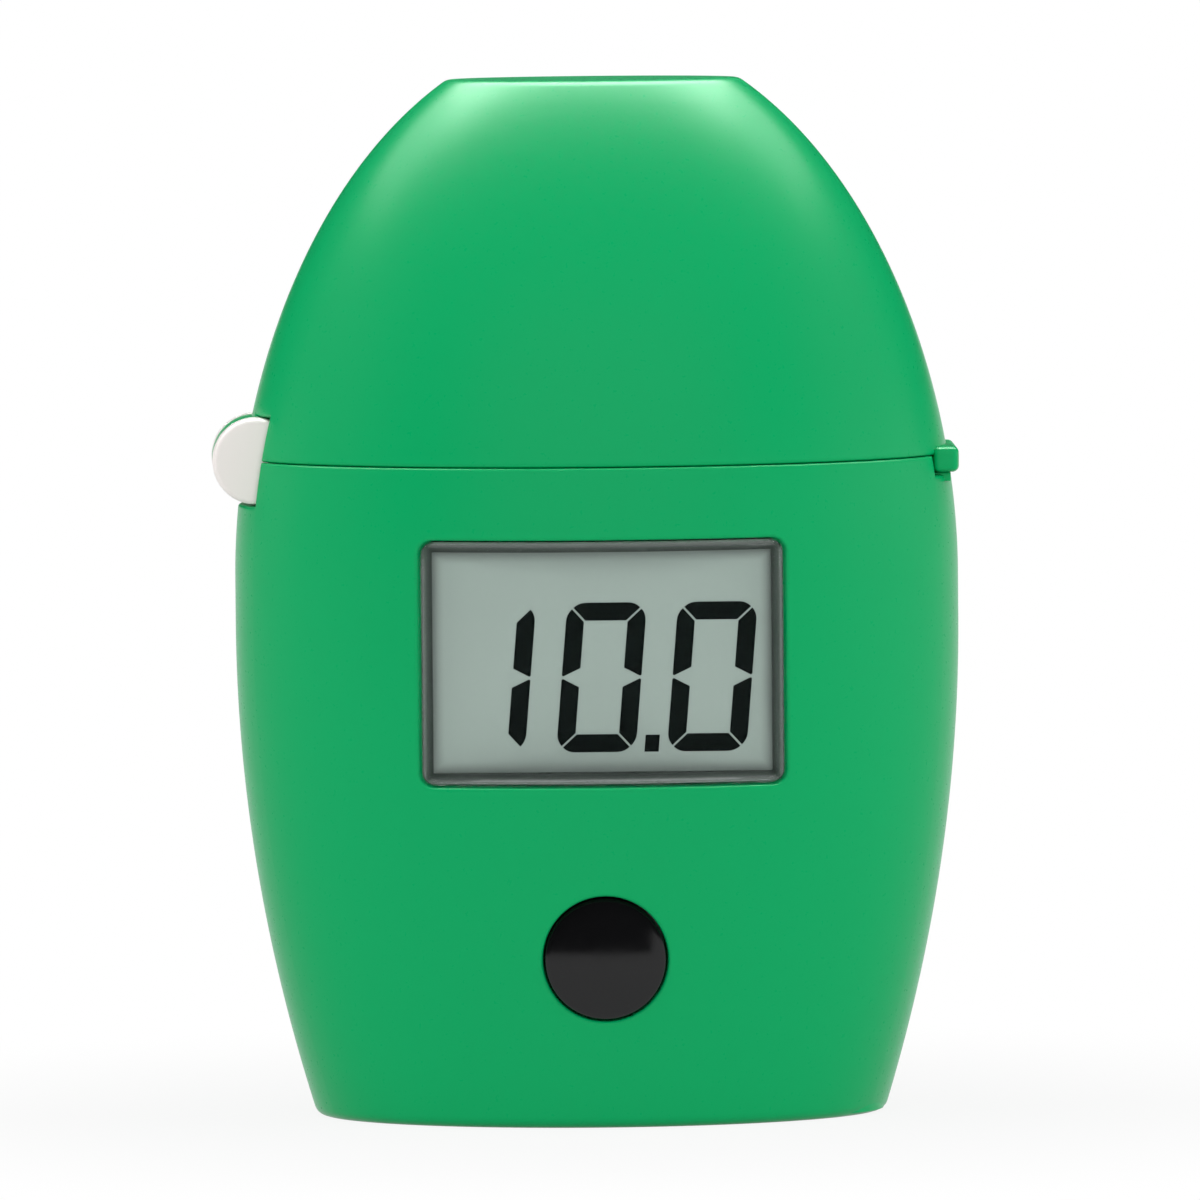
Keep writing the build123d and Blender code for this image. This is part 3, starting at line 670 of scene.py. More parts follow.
crown_zone = 2.0
crown_turns = np.radians(np.linspace(40, 90, 10))
crown_rows = total_height - crown_edge_radius * (1 - np.sin(crown_turns))
crown_start = total_height - crown_zone
lid_rows = stretch(lid_low + edge_round, 8, slot_top, 44, crown_start, 10, crown_rows[0])
lid_rows = np.concatenate([lid_rows, crown_rows[1:]])[::-1]
lid_rows[0] = total_height
lid_grid = ellipse_grid(lid_rows, lid_angles(lid_rows))
crown_shares = np.array([0.0, 0.15, 0.35, 0.6, 0.8, 0.92, 0.98])[:, None, None]
crown_middle = np.array([0.0, 0.0, total_height])
crown_rings = crown_middle + (lid_grid[:1] - crown_middle) * crown_shares
lid_full = np.concatenate([crown_rings, lid_grid])
lid_columns = lid_full.shape[1]
lid_left_start = len(lid_side_lines) + lid_back_divisions - 1
slot_row = len(crown_rings) + nearest(lid_rows, slot_top)
slot_blocks = []
for first, last in ((slot_end, slot_start), (-slot_start, -slot_end)):
    slot_blocks.append((
        slot_row,
        len(lid_full) - 1,
        lid_left_start + nearest(lid_side_lines[::-1], first),
        lid_left_start + nearest(lid_side_lines[::-1], last),
    ))


# %% Welding and turned shapes
def weld(points, faces):
    """Points that share a place become one point, and unused points go."""
    used = np.unique(faces)
    places = np.round(points[used], 5) + 0.0
    _, first, back = np.unique(places, axis=0, return_index=True, return_inverse=True)
    renumber = np.zeros(len(points), int)
    renumber[used] = back.ravel()
    return points[used][first], renumber[faces]


def turned(along, radius, origin, axis, divisions=96):
    """Surface of revolution: a profile of distances along an axis and radii, carried round the axis."""
    axis = np.array(axis, float)
    side = np.array([axis[2], axis[0], axis[1]])
    other = np.cross(axis, side)
    turn = np.linspace(0, 2 * math.pi, divisions, endpoint=False)
    round_it = np.cos(turn)[None, :, None] * side + np.sin(turn)[None, :, None] * other
    along = np.asarray(along)[:, None, None]
    radius = np.asarray(radius)[:, None, None]
    points = np.array(origin) + along * axis + radius * round_it
    return points.reshape(-1, 3), grid_faces(len(along), divisions, closed=True)


def corner_arc(along, radius, size, start, end, steps=4):
    """Quarter arc of a profile: centre, size, and its first and last angle in degrees."""
    turn = np.radians(np.linspace(start, end, steps + 1))
    return along + size * np.cos(turn), radius + size * np.sin(turn)


def profile(*pieces):
    """A profile from single points and arcs."""
    along = np.concatenate([np.atleast_1d(p[0]) for p in pieces])
    radius = np.concatenate([np.atleast_1d(p[1]) for p in pieces])
    return along, radius


def rounded_block(middle, half, radius, divisions=10):
    """Block with round edges: each point of a cube's grid is pulled back to the inner block and then
    pushed out by the radius along its own direction. A power under 1 crowds the lines at the edges."""
    line = np.linspace(-1, 1, divisions + 1)
    a, b = np.meshgrid(line, line, indexing="ij")
    one = np.ones_like(a)
    sides = []
    for axis in range(3):
        for sign in (-1, 1):
            parts = [a, b] if sign > 0 else [b, a]
            parts.insert(axis, one * sign)
            if axis == 1:
                parts = [parts[2], parts[1], parts[0]]
            points = np.stack(parts, axis=2).reshape(-1, 3)
            sides.append((points, grid_faces(divisions + 1, divisions + 1, flip=True)))
    points, faces = join(*sides)
    half = np.array(half, float)
    crowd = 0.6
    spread = np.sign(points) * np.abs(points) ** crowd * half
    inner = np.clip(spread, -(half - radius), half - radius)
    away = spread - inner
    length = np.maximum(np.linalg.norm(away, axis=1, keepdims=True), 1e-9)
    return weld(np.array(middle) + inner + away / length * radius, faces)


# %% Lid of the casing, with its knuckle and its catch tab
lid_faces_all = kept_faces(len(lid_full), lid_columns, slot_blocks)
lid_skin = weld(lid_full.reshape(-1, 3), lid_faces_all)
lid_wall = thicken(*lid_skin, wall, edge_round)
knuckle_edge = 0.3
knuckle_end = lid_knuckle_half_length - knuckle_edge
knuckle_side = knuckle_radius - knuckle_edge
pin_bore = 1.06
pin_middle = (hinge_x, 0, hinge_z)
knuckle_profile = profile(
    ([-lid_knuckle_half_length], [pin_bore]),
    corner_arc(-knuckle_end, knuckle_side, knuckle_edge, 180, 90),
    corner_arc(knuckle_end, knuckle_side, knuckle_edge, 90, 0),
    ([lid_knuckle_half_length, -lid_knuckle_half_length], [pin_bore, pin_bore]),
)
lid_knuckle = weld(*turned(*knuckle_profile, pin_middle, (0, 1, 0)))
catch_depth = 2.2
catch_edge = 0.55
catch_high = parting_height + catch_height_above
catch_tab = rounded_block(
    (catch_outer - catch_depth / 2, 0, (catch_low + catch_high) / 2),
    (catch_depth / 2, catch_half_length, (catch_high - catch_low) / 2),
    catch_edge,
)

# %% [markdown]
# Inside the rim the lid carries a thin tongue that hangs down behind the body's wall and traps the
# light. Behind the catch the body has a pad with the notch's back and cheeks, and further down stand the
# hollow posts for the screws, the post under the vial well and the rails that hold the board.

# %% Tongue inside the lid
tongue_clearance = 0.25
tongue_outside = wall + tongue_clearance
tongue_thickness = 0.85
tongue_reach = 1.2
tongue_root = 1.7
tongue_low = parting_height - tongue_reach
tongue_high = lid_low + tongue_root
tongue_bevel = 0.2
tongue_end_gap = 0.6
pad_margin = 1.3
hinge_opening = hinge_half_length + tongue_end_gap
catch_opening = catch_half_length + pad_margin + catch_gap


def tongue(first, last, divisions=60):
    """Part of a ring between two angles from the front: a rectangle with a bevelled lower outer edge,
    carried along the casing's ellipse."""
    turn = np.linspace(first, last, divisions + 1)[:, None]
    inset = np.repeat([tongue_outside, tongue_outside + tongue_thickness], 3)
    bevel_top = tongue_low + tongue_bevel
    halfway = (tongue_low + tongue_high) / 2
    z = np.array([bevel_top, halfway, tongue_high, tongue_high, bevel_top, tongue_low])
    across = half_width(z) - inset
    deep = half_depth(z) - inset
    height = np.broadcast_to(z, (len(turn), 6))
    points = np.stack([across * np.sin(turn), -deep * np.cos(turn), height], axis=2)
    faces = grid_faces(divisions + 1, 6, closed=True, flip=True)
    caps = np.array([[5, 4, 1, 0], [4, 3, 2, 1]])
    return points.reshape(-1, 3), np.concatenate([faces, caps, caps[:, ::-1] + divisions * 6])


def opening_angle(half_length):
    """Angle from the front at which the tongue's outside passes a distance in front of the middle."""
    return float(np.arccos(half_length / (half_depth(np.array([parting_height]))[0] - tongue_outside)))


at_catch = opening_angle(catch_opening)
at_hinge = opening_angle(hinge_opening)
tongue_front = tongue(-at_hinge, at_catch)
tongue_back = tongue(math.pi - at_catch, math.pi + at_hinge)
lid_mesh = join(lid_wall, lid_knuckle, catch_tab, tongue_front, tongue_back)
print("lid", len(lid_mesh[0]), "points")


# %% Pad behind the catch
def wall_block(y_low, y_high, z_low, z_high, inner_x, divisions=12):
    """Block between a flat inner side and the middle of the casing's right wall, which it follows."""
    y_line = np.linspace(y_low, y_high, divisions + 1)
    z_line = np.linspace(z_low, z_high, divisions + 1)
    y, z = np.meshgrid(y_line, z_line)
    deep = half_depth(z) - wall / 2
    outer = (half_width(z) - wall / 2) * np.sqrt(1 - (y / deep) ** 2)
    front = np.stack([outer, y, z], axis=2).reshape(-1, 3)
    back = front.copy()
    back[:, 0] = inner_x
    count = len(front)
    faces = grid_faces(divisions + 1, divisions + 1)
    edge = border_edges(faces)
    sides = np.stack([edge[:, 1], edge[:, 0], edge[:, 0] + count, edge[:, 1] + count], axis=1)
    return np.concatenate([front, back]), np.concatenate([faces, faces[:, ::-1] + count, sides])


catch_stand_out = 0.8
catch_bite = 1.45
catch_inner = catch_outer - catch_stand_out - catch_bite
pad_side = catch_half_length + pad_margin
notch_floor = catch_low - catch_gap
notch_back = catch_inner - catch_gap / 2
pad_thickness = 2.2
pad_height = 8.1
pad_start = catch_inner - pad_thickness
pad_low = parting_height - pad_height
cheek_top = rim_top - 0.15
pad_parts = [wall_block(-pad_side, pad_side, pad_low, notch_floor, pad_start)]
for low, high in ((-pad_side, -notch_half), (notch_half, pad_side)):
    pad_parts.append(wall_block(low, high, notch_floor, cheek_top, pad_start))
sunk = 0.2
back_wall = rounded_block(
    ((pad_start + notch_back) / 2, 0, (notch_floor + rim_top) / 2 - sunk),
    ((notch_back - pad_start) / 2, notch_half + 0.1, (rim_top - notch_floor) / 2 + sunk),
    0.15,
)
bead_edge = 0.12
bead_low = notch_floor - 0.6
bead_high = catch_low - 0.04
bead_outer = half_width(np.array([notch_floor]))[0] - bead_edge
catch_bead = rounded_block(
    ((notch_back + bead_outer) / 2, 0, (bead_low + bead_high) / 2),
    ((bead_outer - notch_back) / 2, catch_half_length - 1.2, (bead_high - bead_low) / 2),
    bead_edge,
)
print("notch back", round(notch_back, 2), "floor", round(notch_floor, 2))

# %% Posts and rails inside the body
screws_low, screws_high = node_box("chassis_screws")
board_front, board_back = (corner[1] for corner in node_box("main_pcb"))
holder_base = node_box("cuvette_holder")[0][2]
head_and_deck = 3.2
deck_low = screws_high[2] - head_and_deck
head_radius = 1.9
left_screw_x = screws_low[0] + head_radius
front_screw_y = screws_low[1] + head_radius
screw_spots = [
    (left_screw_x, front_screw_y),
    (left_screw_x, -front_screw_y),
    (screws_high[0] - head_radius, screws_high[1] - head_radius),
]
screw_post = (2.3, 1.02)
screw_post_length = 10
well_spot = (-4.89, 1.917)
well_post = (6.5, 5.3)
well_post_low = 1.2


def hollow_post(spot, low, high, outside, inside):
    """Upright tube between two heights: a rectangle of two radii carried round."""
    along = [low, low, high, high, low]
    radius = [inside, outside, outside, inside, inside]
    return weld(*turned(along, radius, (*spot, 0), (0, 0, 1), 48))


posts = [hollow_post(spot, deck_low - screw_post_length, deck_low, *screw_post) for spot in screw_spots]
posts.append(hollow_post(well_spot, well_post_low, holder_base, *well_post))
rail_side = 8.8
rail_front = -14.3
rail_back = board_back + 1.2
rail_gap = 0.1
rail_half_width = 1.2
rail_height = 5.1
rail_half_height = 4.1
rail_edge = 0.2
rails = []
for side in (-rail_side, rail_side):
    for front, back in ((rail_front, board_front - rail_gap), (board_back + rail_gap, rail_back)):
        rail_half = (rail_half_width, (back - front) / 2, rail_half_height)
        rails.append(rounded_block((side, (front + back) / 2, rail_height), rail_half, rail_edge))
body_mesh = join((body_points, body_faces), *pad_parts, back_wall, catch_bead, *posts, *rails)
print("posts", len(posts), "rails", len(rails), "body", len(body_mesh[0]), "points")

# %% [markdown]
# Two white knuckles hold the pin, one on each side of the lid's green one. The front one is closed and
# shows as a disc, and the back one has a bore through which the pin is pressed in. Both are turned, with
# a round outer edge.

# %% White knuckles of the hinge
cap_radius = knuckle_radius + 0.02
cap_round = 0.45
cap_face = hinge_half_length + 0.03
cap_inner = lid_knuckle_half_length + 0.33
cap_bore = 1.02


def knuckle_cap(bore, closing, way):
    """Knuckle from a profile: its inner face, a round outer edge, and a closing to the pin's axis."""
    edge = corner_arc(cap_face - cap_round, cap_radius - cap_round, cap_round, 90, 0, 8)
    cap_profile = profile(([cap_inner, cap_inner], [bore, cap_radius]), edge, closing)
    return weld(*turned(*cap_profile, pin_middle, (0, way, 0)))


front_cap = knuckle_cap(0.0, ([cap_face], [0.0]), -1)
back_cap = knuckle_cap(cap_bore, ([cap_face, cap_inner], [cap_bore, cap_bore]), 1)

# %% Casing objects
casing_body = add_object("casing_body", *body_mesh)
casing_lid = add_object("casing_lid", *lid_mesh)
hinge_knuckles = add_object("hinge_knuckles", *join(front_cap, back_cap))
stands_for(casing_body, "housing", "body_shell")
stands_for(casing_lid, "lid", "lid_shell")
fitted_on(hinge_knuckles, "housing")

# %% [markdown]
# The window is a clear pane that follows the casing's bow a little below it. Its front is a square grid
# mapped onto the rounded rectangle: each ring of the square becomes a smaller rounded rectangle.

# %% Window pane
pane_recess = 0.1
pane_edge = 0.42
pane_thickness = 1.4


def rounded_plate(half_x, half_z, corner, middle_z, depth_of, divisions=36):
    """Front skin of a plate: a point of the square lies on the ring of its larger coordinate."""
    line = np.linspace(-1, 1, divisions + 1)
    line = np.sign(line) * (1 - (1 - np.abs(line)) ** 1.5)
    u, v = np.meshgrid(line, line)
    ring = np.maximum(np.maximum(np.abs(u), np.abs(v)), 1e-9)
    x, z = rounded_rectangle(u / ring, v / ring, half_x, half_z, corner)
    x = x * ring
    z = middle_z + z * ring
    points = np.stack([x, -depth_of(x, z), z], axis=2).reshape(-1, 3)
    return weld(points, grid_faces(divisions + 1, divisions + 1))


pane_skin = rounded_plate(
    window_half_width - pane_fit - pane_edge,
    window_half_height - pane_fit - pane_edge,
    window_corner - pane_fit - pane_edge,
    window_height,
    lambda x, z: surface_depth(x, z) - pane_recess,
)
window_pane = add_object("window_pane", *thicken(*pane_skin, pane_thickness, pane_edge))
stands_for(window_pane, "housing", "display_window")

# %% [markdown]
# The reading is made of slanted segments, as on any numeric display. A segment is a long bar with
# pointed ends, and it stands a hair in front of the display's glass, where it shows as dark ink.

# %% Digits of the display
display_front = node_box("lcd_panel")[0][1]
digit_front = -display_front + 0.03
digit_low = 30.97
digit_height = 12.35
digit_width = 6.55
digit_pitch = 9.12
digit_left = -3.85
segment_width = 1.48
segment_corner = 1.42
segment_gap = 0.11
tip_slope = 0.46
tip_flat = 0.12
tip_bevel = 0.08
slant = math.tan(math.radians(4.8))
ink_thickness = 0.05


def ink(outline_points):
    """Thin closed plate from an outline of (x, height) points, slanted as the digits are."""
    flat = np.array(outline_points, float)
    x = flat[:, 0] + slant * (flat[:, 1] - digit_low)
    front = np.stack([x, np.full_like(x, -digit_front), flat[:, 1]], axis=1)
    back = front + np.array([0, ink_thickness, 0])
    count = len(flat)
    around = np.arange(count)
    following = (around + 1) % count
    sides = np.stack([around, around + count, following + count, following], axis=1).tolist()
    return np.concatenate([front, back]), [around.tolist(), (around[::-1] + count).tolist()] + sides


def corner_points(x, z, x_sign, z_sign, start, end):
    """Part of the round outer corner of a digit, between two angles from the side to the top."""
    turn = np.radians(np.linspace(start, end, 5))
    along = x + x_sign * segment_corner * (np.cos(turn) - 1)
    up = z + z_sign * segment_corner * (np.sin(turn) - 1)
    return list(zip(along, up))


def upright(x, tip, corner, outer, way):
    """Outline of an upright segment, with its outer side facing -1 or 1, from its tip at the middle of
    the digit to its corner, which lies up or down as way says. The tip slants in from the outer side."""
    inner_x = x - outer * segment_width
    slope_end = tip + way * segment_width * tip_slope
    points = [(inner_x, slope_end), (x - outer * tip_flat, tip), (x, tip + way * tip_bevel)]
    points += corner_points(x, corner, outer, way, 0, 45)
    points += [(inner_x, corner - way * segment_width)]
    return points if outer * way > 0 else points[::-1]


def level(left, right, z, way):
    """Outline of a level segment, along the top or the base as way says, with half a corner at
    each end."""
    inner_z = z - way * segment_width
    points = [(left + segment_width, inner_z), (right - segment_width, inner_z)]
    points += corner_points(right, z, 1, way, 45, 90) + corner_points(left, z, -1, way, 90, 45)
    return points if way > 0 else points[::-1]


def digit(left, segments):
    """Outlines of a digit's segments: a top, b and c right, d base, e and f left."""
    right = left + digit_width
    top = digit_low + digit_height
    middle = digit_low + digit_height / 2
    g = segment_gap
    shapes = {
        "a": level(left + g, right - g, top, 1),
        "b": upright(right, middle + g, top - g, 1, 1),
        "c": upright(right, middle - g, digit_low + g, 1, -1),
        "d": level(left + g, right - g, digit_low, -1),
        "e": upright(left, middle - g, digit_low + g, -1, -1),
        "f": upright(left, middle + g, top - g, -1, 1),
    }
    return [shapes[name] for name in segments]


def mixed_join(parts):
    """Several point arrays with face lists of any length as one."""
    shift = 0
    points = []
    faces = []
    for part_points, part_faces in parts:
        points.append(part_points)
        faces += [[number + shift for number in face] for face in part_faces]
        shift += len(part_points)
    return np.concatenate(points), faces


dot_gap = 0.72
dot_width = 1.17
dot_height = 1.4
dot_left = digit_left + digit_width + dot_gap
dot_right = dot_left + dot_width
dot_high = digit_low + dot_height
dot = [(dot_left, digit_low), (dot_right, digit_low), (dot_right, dot_high), (dot_left, dot_high)]
outlines = digit(digit_left - digit_pitch, "bc") + digit(digit_left, "abcdef")
outlines += [dot[::-1]] + digit(digit_left + digit_pitch, "abcdef")
ink_points, ink_faces = mixed_join([ink(shape) for shape in outlines])
display_digits = plain_object("display_digits", ink_points * MM, ink_faces)
fitted_on(display_digits, "housing")
print("digits", len(outlines), "segments")

# %% [markdown]
# The button is turned: a low dome with a round edge, a straight side that runs in the hole, and a flange
# behind the wall that keeps it from falling out.

# %% Power button
flange_radius = (button_high[0] - button_low[0]) / 2
flange_thickness = 0.6
dome_height = 0.9
dome_top = -button_low[1]
button_face = dome_top - dome_height
button_edge = 0.28
sphere = (button_radius ** 2 + dome_height ** 2) / (2 * dome_height)
dome_turn = np.linspace(0, math.asin((button_radius - button_edge) / sphere), 22)
dome_line = (dome_top - sphere * (1 - np.cos(dome_turn)), sphere * np.sin(dome_turn))
flange_back = -button_high[1]
button_profile = profile(
    dome_line,
    corner_arc(button_face - button_edge + 0.05, button_radius - button_edge, button_edge, 30, 90),
    ([flange_back + flange_thickness] * 2, [button_radius, flange_radius]),
    ([flange_back, flange_back], [flange_radius, 0.0]),
)
button_points, button_faces = weld(*turned(*button_profile, (0, 0, button_height), (0, -1, 0), 128))
button = add_object("button_cap", button_points, button_faces[:, ::-1])
stands_for(button, "button", "power_button")

# %% [markdown]
# The screws have pan heads with a cross recess, and the one in the battery cover is countersunk. The
# middle of a head is a square grid whose lines follow the arms of the cross, so the recess gets clean
# walls. Rings then lead from the square's border to the round head, and on down the threaded shank.

# %% Screws
cross_half = 0.24
cross_reach = 0.92
cross_wall = 0.05
cross_depth = 0.8
cross_lines = (0, cross_half, cross_half + cross_wall, 0.6, cross_reach, cross_reach + cross_wall, 1.0)
line_width = 0.01
thread_pitch = 0.8
thread_depth = 0.14
thread_start = 0.6
rings_a_pitch = 8


def head_top(radius, height, crown):
    """Square middle of a head's top: a low dome, which drops by the recess inside the cross's arms."""
    lines = mirrored(np.array(cross_lines))
    a, b = np.meshgrid(lines, lines)
    wide = np.maximum(np.abs(a), np.abs(b))
    thin = np.minimum(np.abs(a), np.abs(b))
    in_cross = (thin < cross_half + line_width) & (wide < cross_reach + line_width)
    dome = height + crown * (1 - (a ** 2 + b ** 2) / radius ** 2)
    c = dome - np.where(in_cross, cross_depth * (1 - 0.5 * wide / cross_reach), 0)
    return np.stack([a, b, c], axis=2).reshape(-1, 3), len(lines)


def screw_mesh(spot, up, heads, crown, length, turn_degrees):
    """Screw with its head's seat at a spot, turned about its axis. The head is rings of a radius and a
    height, and the shank's radius swings by a wave that climbs one pitch a turn."""
    block, count = head_top(*heads[0], crown)
    border = block_border(0, count - 1, 0, count - 1, count)
    u = block[border, 0]
    v = block[border, 1]
    around = np.arctan2(v, u)
    shank = np.linspace(0, -length, int(length / thread_pitch * rings_a_pitch))
    wave = np.abs(2 * np.mod(shank[:, None] / thread_pitch + around / (2 * math.pi), 1) - 1)
    shank_radius = 1.0 - thread_depth * wave * np.clip(-shank[:, None] / thread_start, 0, 1)
    rows = [(*circle(u, v, radius), np.full_like(u, height)) for radius, height in heads]
    unit = circle(u, v, 1.0)
    rows += [(unit[0] * r, unit[1] * r, np.full_like(u, z)) for r, z in zip(shank_radius, shank)]
    rows.append((unit[0] * 0.0, unit[1] * 0.0, np.full_like(u, -length)))
    rings = np.stack([np.stack(row, axis=1) for row in rows])
    faces = np.concatenate([grid_faces(count, count), ring_faces(border, len(rings), len(block))])
    local = np.concatenate([block, rings.reshape(-1, 3)])
    across = np.array([1.0, 0.0, 0.0])
    up = np.array(up, float)
    angle = math.radians(turn_degrees)
    first = across * math.cos(angle) + np.cross(up, across) * math.sin(angle)
    second = np.cross(up, first)
    placed = np.array(spot) + local[:, :1] * first + local[:, 1:2] * second + local[:, 2:] * up
    return weld(placed, faces)


pan_head = [(1.35, 1.05), (1.5, 1.02), (1.66, 0.93), (1.78, 0.78)]
pan_head += [(1.85, 0.55), (1.9, 0.12), (1.86, 0.0), (1.0, 0.0)]
pan_height = 1.2
pan_crown = 0.15
sunk_head = [(1.72, -0.02), (1.85, -0.03), (1.9, -0.1), (1.0, -1.05)]
deck_top = screws_high[2] - pan_height
deck_parts = [
    screw_mesh((x, y, deck_top), (0, 0, 1), pan_head, pan_crown, 6.0, angle)
    for (x, y), angle in zip(screw_spots, (14, 52, 31))
]
sunk_low, sunk_high = node_box("battery_cover_screw")
sunk_spot = ((sunk_low[0] + sunk_high[0]) / 2, (sunk_low[1] + sunk_high[1]) / 2, sunk_low[2])
sunk_part = screw_mesh(sunk_spot, (0, 0, -1), sunk_head, 0.02, 7.0, 24)
fixing_low, fixing_high = node_box("pcb_screws")
fixing_x = fixing_high[0] - head_radius
fixing_y = fixing_low[1] + pan_height
fixing_z = (fixing_low[2] + fixing_high[2]) / 2
fixing_parts = [
    screw_mesh((x, fixing_y, fixing_z), (0, -1, 0), pan_head, pan_crown, 2.2, angle)
    for x, angle in ((-fixing_x, 8), (fixing_x, 67))
]
screw_objects = []
for name, parts, node in (
    ("deck_screws", deck_parts, "chassis_screws"),
    ("cover_screw", [sunk_part], "battery_cover_screw"),
    ("board_screws", fixing_parts, "pcb_screws"),
):
    screws = add_object(name, *join(*parts), smooth_angle=50.0)
    stands_for(screws, "housing", node)
    screw_objects.append(screws)

# %% [markdown]
# The battery cover is a slot-shaped plate in the base, with a countersunk hole. Rays from the hole's
# middle cross the plate once each, so the plate is a grid of rays and rings. Its outer edge is round,
# and five shallow grooves by the cell give a fingertip some grip.

# %% Battery cover
plate_radius = (cover_high[1] - cover_low[1]) / 2
plate_reach = (cover_high[0] - cover_low[0]) / 2 - plate_radius
plate_face = cover_low[2]
plate_back = plate_face + 1.05
plate_round = 0.22
ray_count = 192
rays = np.linspace(0, 2 * math.pi, ray_count, endpoint=False)
hole_x = sunk_spot[0]
hole_radius = 1.15
cone_radius = 2.0
cone_edge = 2.06
cone_depth = 0.95
reach_out = slot_distance(rays, plate_radius, plate_reach, hole_x - cover_x)
plate_rows = [
    (hole_radius, plate_back),
    (hole_radius, plate_face + cone_depth),
    (cone_radius, plate_face + cone_edge - cone_radius),
    (cone_edge, plate_face),
]
for share in np.linspace(0.03, 1, 44):
    plate_rows.append((cone_edge + (reach_out - plate_round - cone_edge) * share, plate_face))
for angle in np.radians([22, 45, 68, 90]):
    drawn_in = plate_round * (1 - math.sin(angle))
    plate_rows.append((reach_out - drawn_in, plate_face + plate_round * (1 - math.cos(angle))))
plate_rows += [(reach_out, plate_back), (hole_radius, plate_back)]
distance = np.stack([np.broadcast_to(row[0], rays.shape) for row in plate_rows])
plate_x = hole_x + distance * np.cos(rays)
plate_y = cover_y + distance * np.sin(rays)
plate_z = np.broadcast_to(np.array([row[1] for row in plate_rows])[:, None], distance.shape)

# %% Grip grooves and the finished cover
groove_depth = 0.22
groove_pitch = 1.5
groove_half_length = 3.6
groove_fade = 0.5
last_groove = 2.3
groove_x = (plate_x - cell_x) / groove_pitch
fade = np.clip((groove_half_length - np.abs(plate_y - cover_y)) / groove_fade, 0, 1)
groove = np.clip(np.cos(2 * math.pi * groove_x), 0, 1) ** 1.5
groove = groove * (np.abs(groove_x) < last_groove) * fade
on_face = np.abs(plate_z - plate_face) < 1e-6
plate_z = plate_z + np.where(on_face, groove_depth * groove, 0)
plate_points = np.stack([plate_x, plate_y, plate_z], axis=2).reshape(-1, 3)
plate = weld(plate_points, grid_faces(len(plate_rows), ray_count, closed=True))
spigot_low = plate_back - 0.1
spigot_outside = tube_bore - 0.2
spigot_inside = spigot_outside - 0.9
spigot = hollow_post((cell_x, cell_y), spigot_low, cover_high[2], spigot_outside, spigot_inside)
cover_plate = add_object("cover_plate", *join(plate, spigot))
stands_for(cover_plate, "housing", "battery_cover")

# %% [markdown]
# A finish is a tree of shader nodes. The class below wraps one output of a node, so that sums, products
# and differences can be written as Python, and it makes any other node from its type, its settings and
# the values or links of its inputs. Patterns read Object coordinates, which here are metres.


# %% Shader maths
class Signal:
    """One output of a shader node."""

    def __init__(self, tree, socket):
        self.tree = tree
        self.socket = socket

    def math(self, operation, first, second):
        return make_node(self.tree, "ShaderNodeMath", {"operation": operation}, {0: first, 1: second})

    def __add__(self, other):
        return self.math("ADD", self, other)

    __radd__ = __add__

    def __sub__(self, other):
        return self.math("SUBTRACT", self, other)

    def __rsub__(self, other):
        return self.math("SUBTRACT", other, self)

    def __mul__(self, other):
        return self.math("MULTIPLY", self, other)

    __rmul__ = __mul__


def make_node(tree, kind, settings=None, inputs=None, output=0):
    """Node of a type, with its settings first and then the values or links of its inputs."""
    node = tree.nodes.new(kind)
    for name, value in (settings or {}).items():
        if name == "stops":
            ramp = node.color_ramp
            for element, (position, colour) in zip(ramp.elements, value):
                element.position = position
                element.color = colour
            for position, colour in value[2:]:
                ramp.elements.new(position).color = colour
        else:
            setattr(node, name, value)
    for name, value in (inputs or {}).items():
        if isinstance(value, Signal):
            tree.links.new(value.socket, node.inputs[name])
        else:
            node.inputs[name].default_value = value
    return Signal(tree, node.outputs[output]) if len(node.outputs) else None


def colour(red, green, blue):
    """Opaque colour."""
    return (red, green, blue, 1.0)


def empty_tree(owner):
    """Node tree of a material or a world, with nothing in it."""
    owner.use_nodes = True
    owner.node_tree.nodes.clear()
    return owner.node_tree


class Finish:
    """Material with one Principled shader, whose inputs may follow patterns in Object coordinates."""

    def __init__(self, name):
        self.material = bpy.data.materials.new(name)
        self.tree = empty_tree(self.material)
        self.place = make_node(self.tree, "ShaderNodeTexCoord", output=3)

    def noise(self, scale, detail=2.0, roughness=0.5):
        """Soft noise from 0 to 1, with a scale in patches per metre."""
        values = {"Vector": self.place, "Scale": scale, "Detail": detail, "Roughness": roughness}
        return make_node(self.tree, "ShaderNodeTexNoise", {}, values)

    def mix(self, share, first, second):
        """Blend of two colours by a share."""
        settings = {"data_type": "RGBA"}
        inputs = {0: share, 6: first, 7: second}
        return make_node(self.tree, "ShaderNodeMix", settings, inputs, output=2)

    def bump(self, height, strength, distance):
        """Relief from a height signal, with a depth in metres."""
        inputs = {"Height": height, "Strength": strength, "Distance": distance}
        return make_node(self.tree, "ShaderNodeBump", {}, inputs)

    def done(self, **inputs):
        """Sets the Principled shader's inputs, whose names are written with underscores."""
        named = {name.replace("_", " "): value for name, value in inputs.items()}
        shader = make_node(self.tree, "ShaderNodeBsdfPrincipled", {}, named)
        make_node(self.tree, "ShaderNodeOutputMaterial", {}, {"Surface": shader})
        return self.material


# %% [markdown]
# The casing is satin ABS: one even green with a very fine spark-eroded grain, so its highlights are
# broad and soft. Slow changes of tone of a percent or two keep large faces from looking painted.

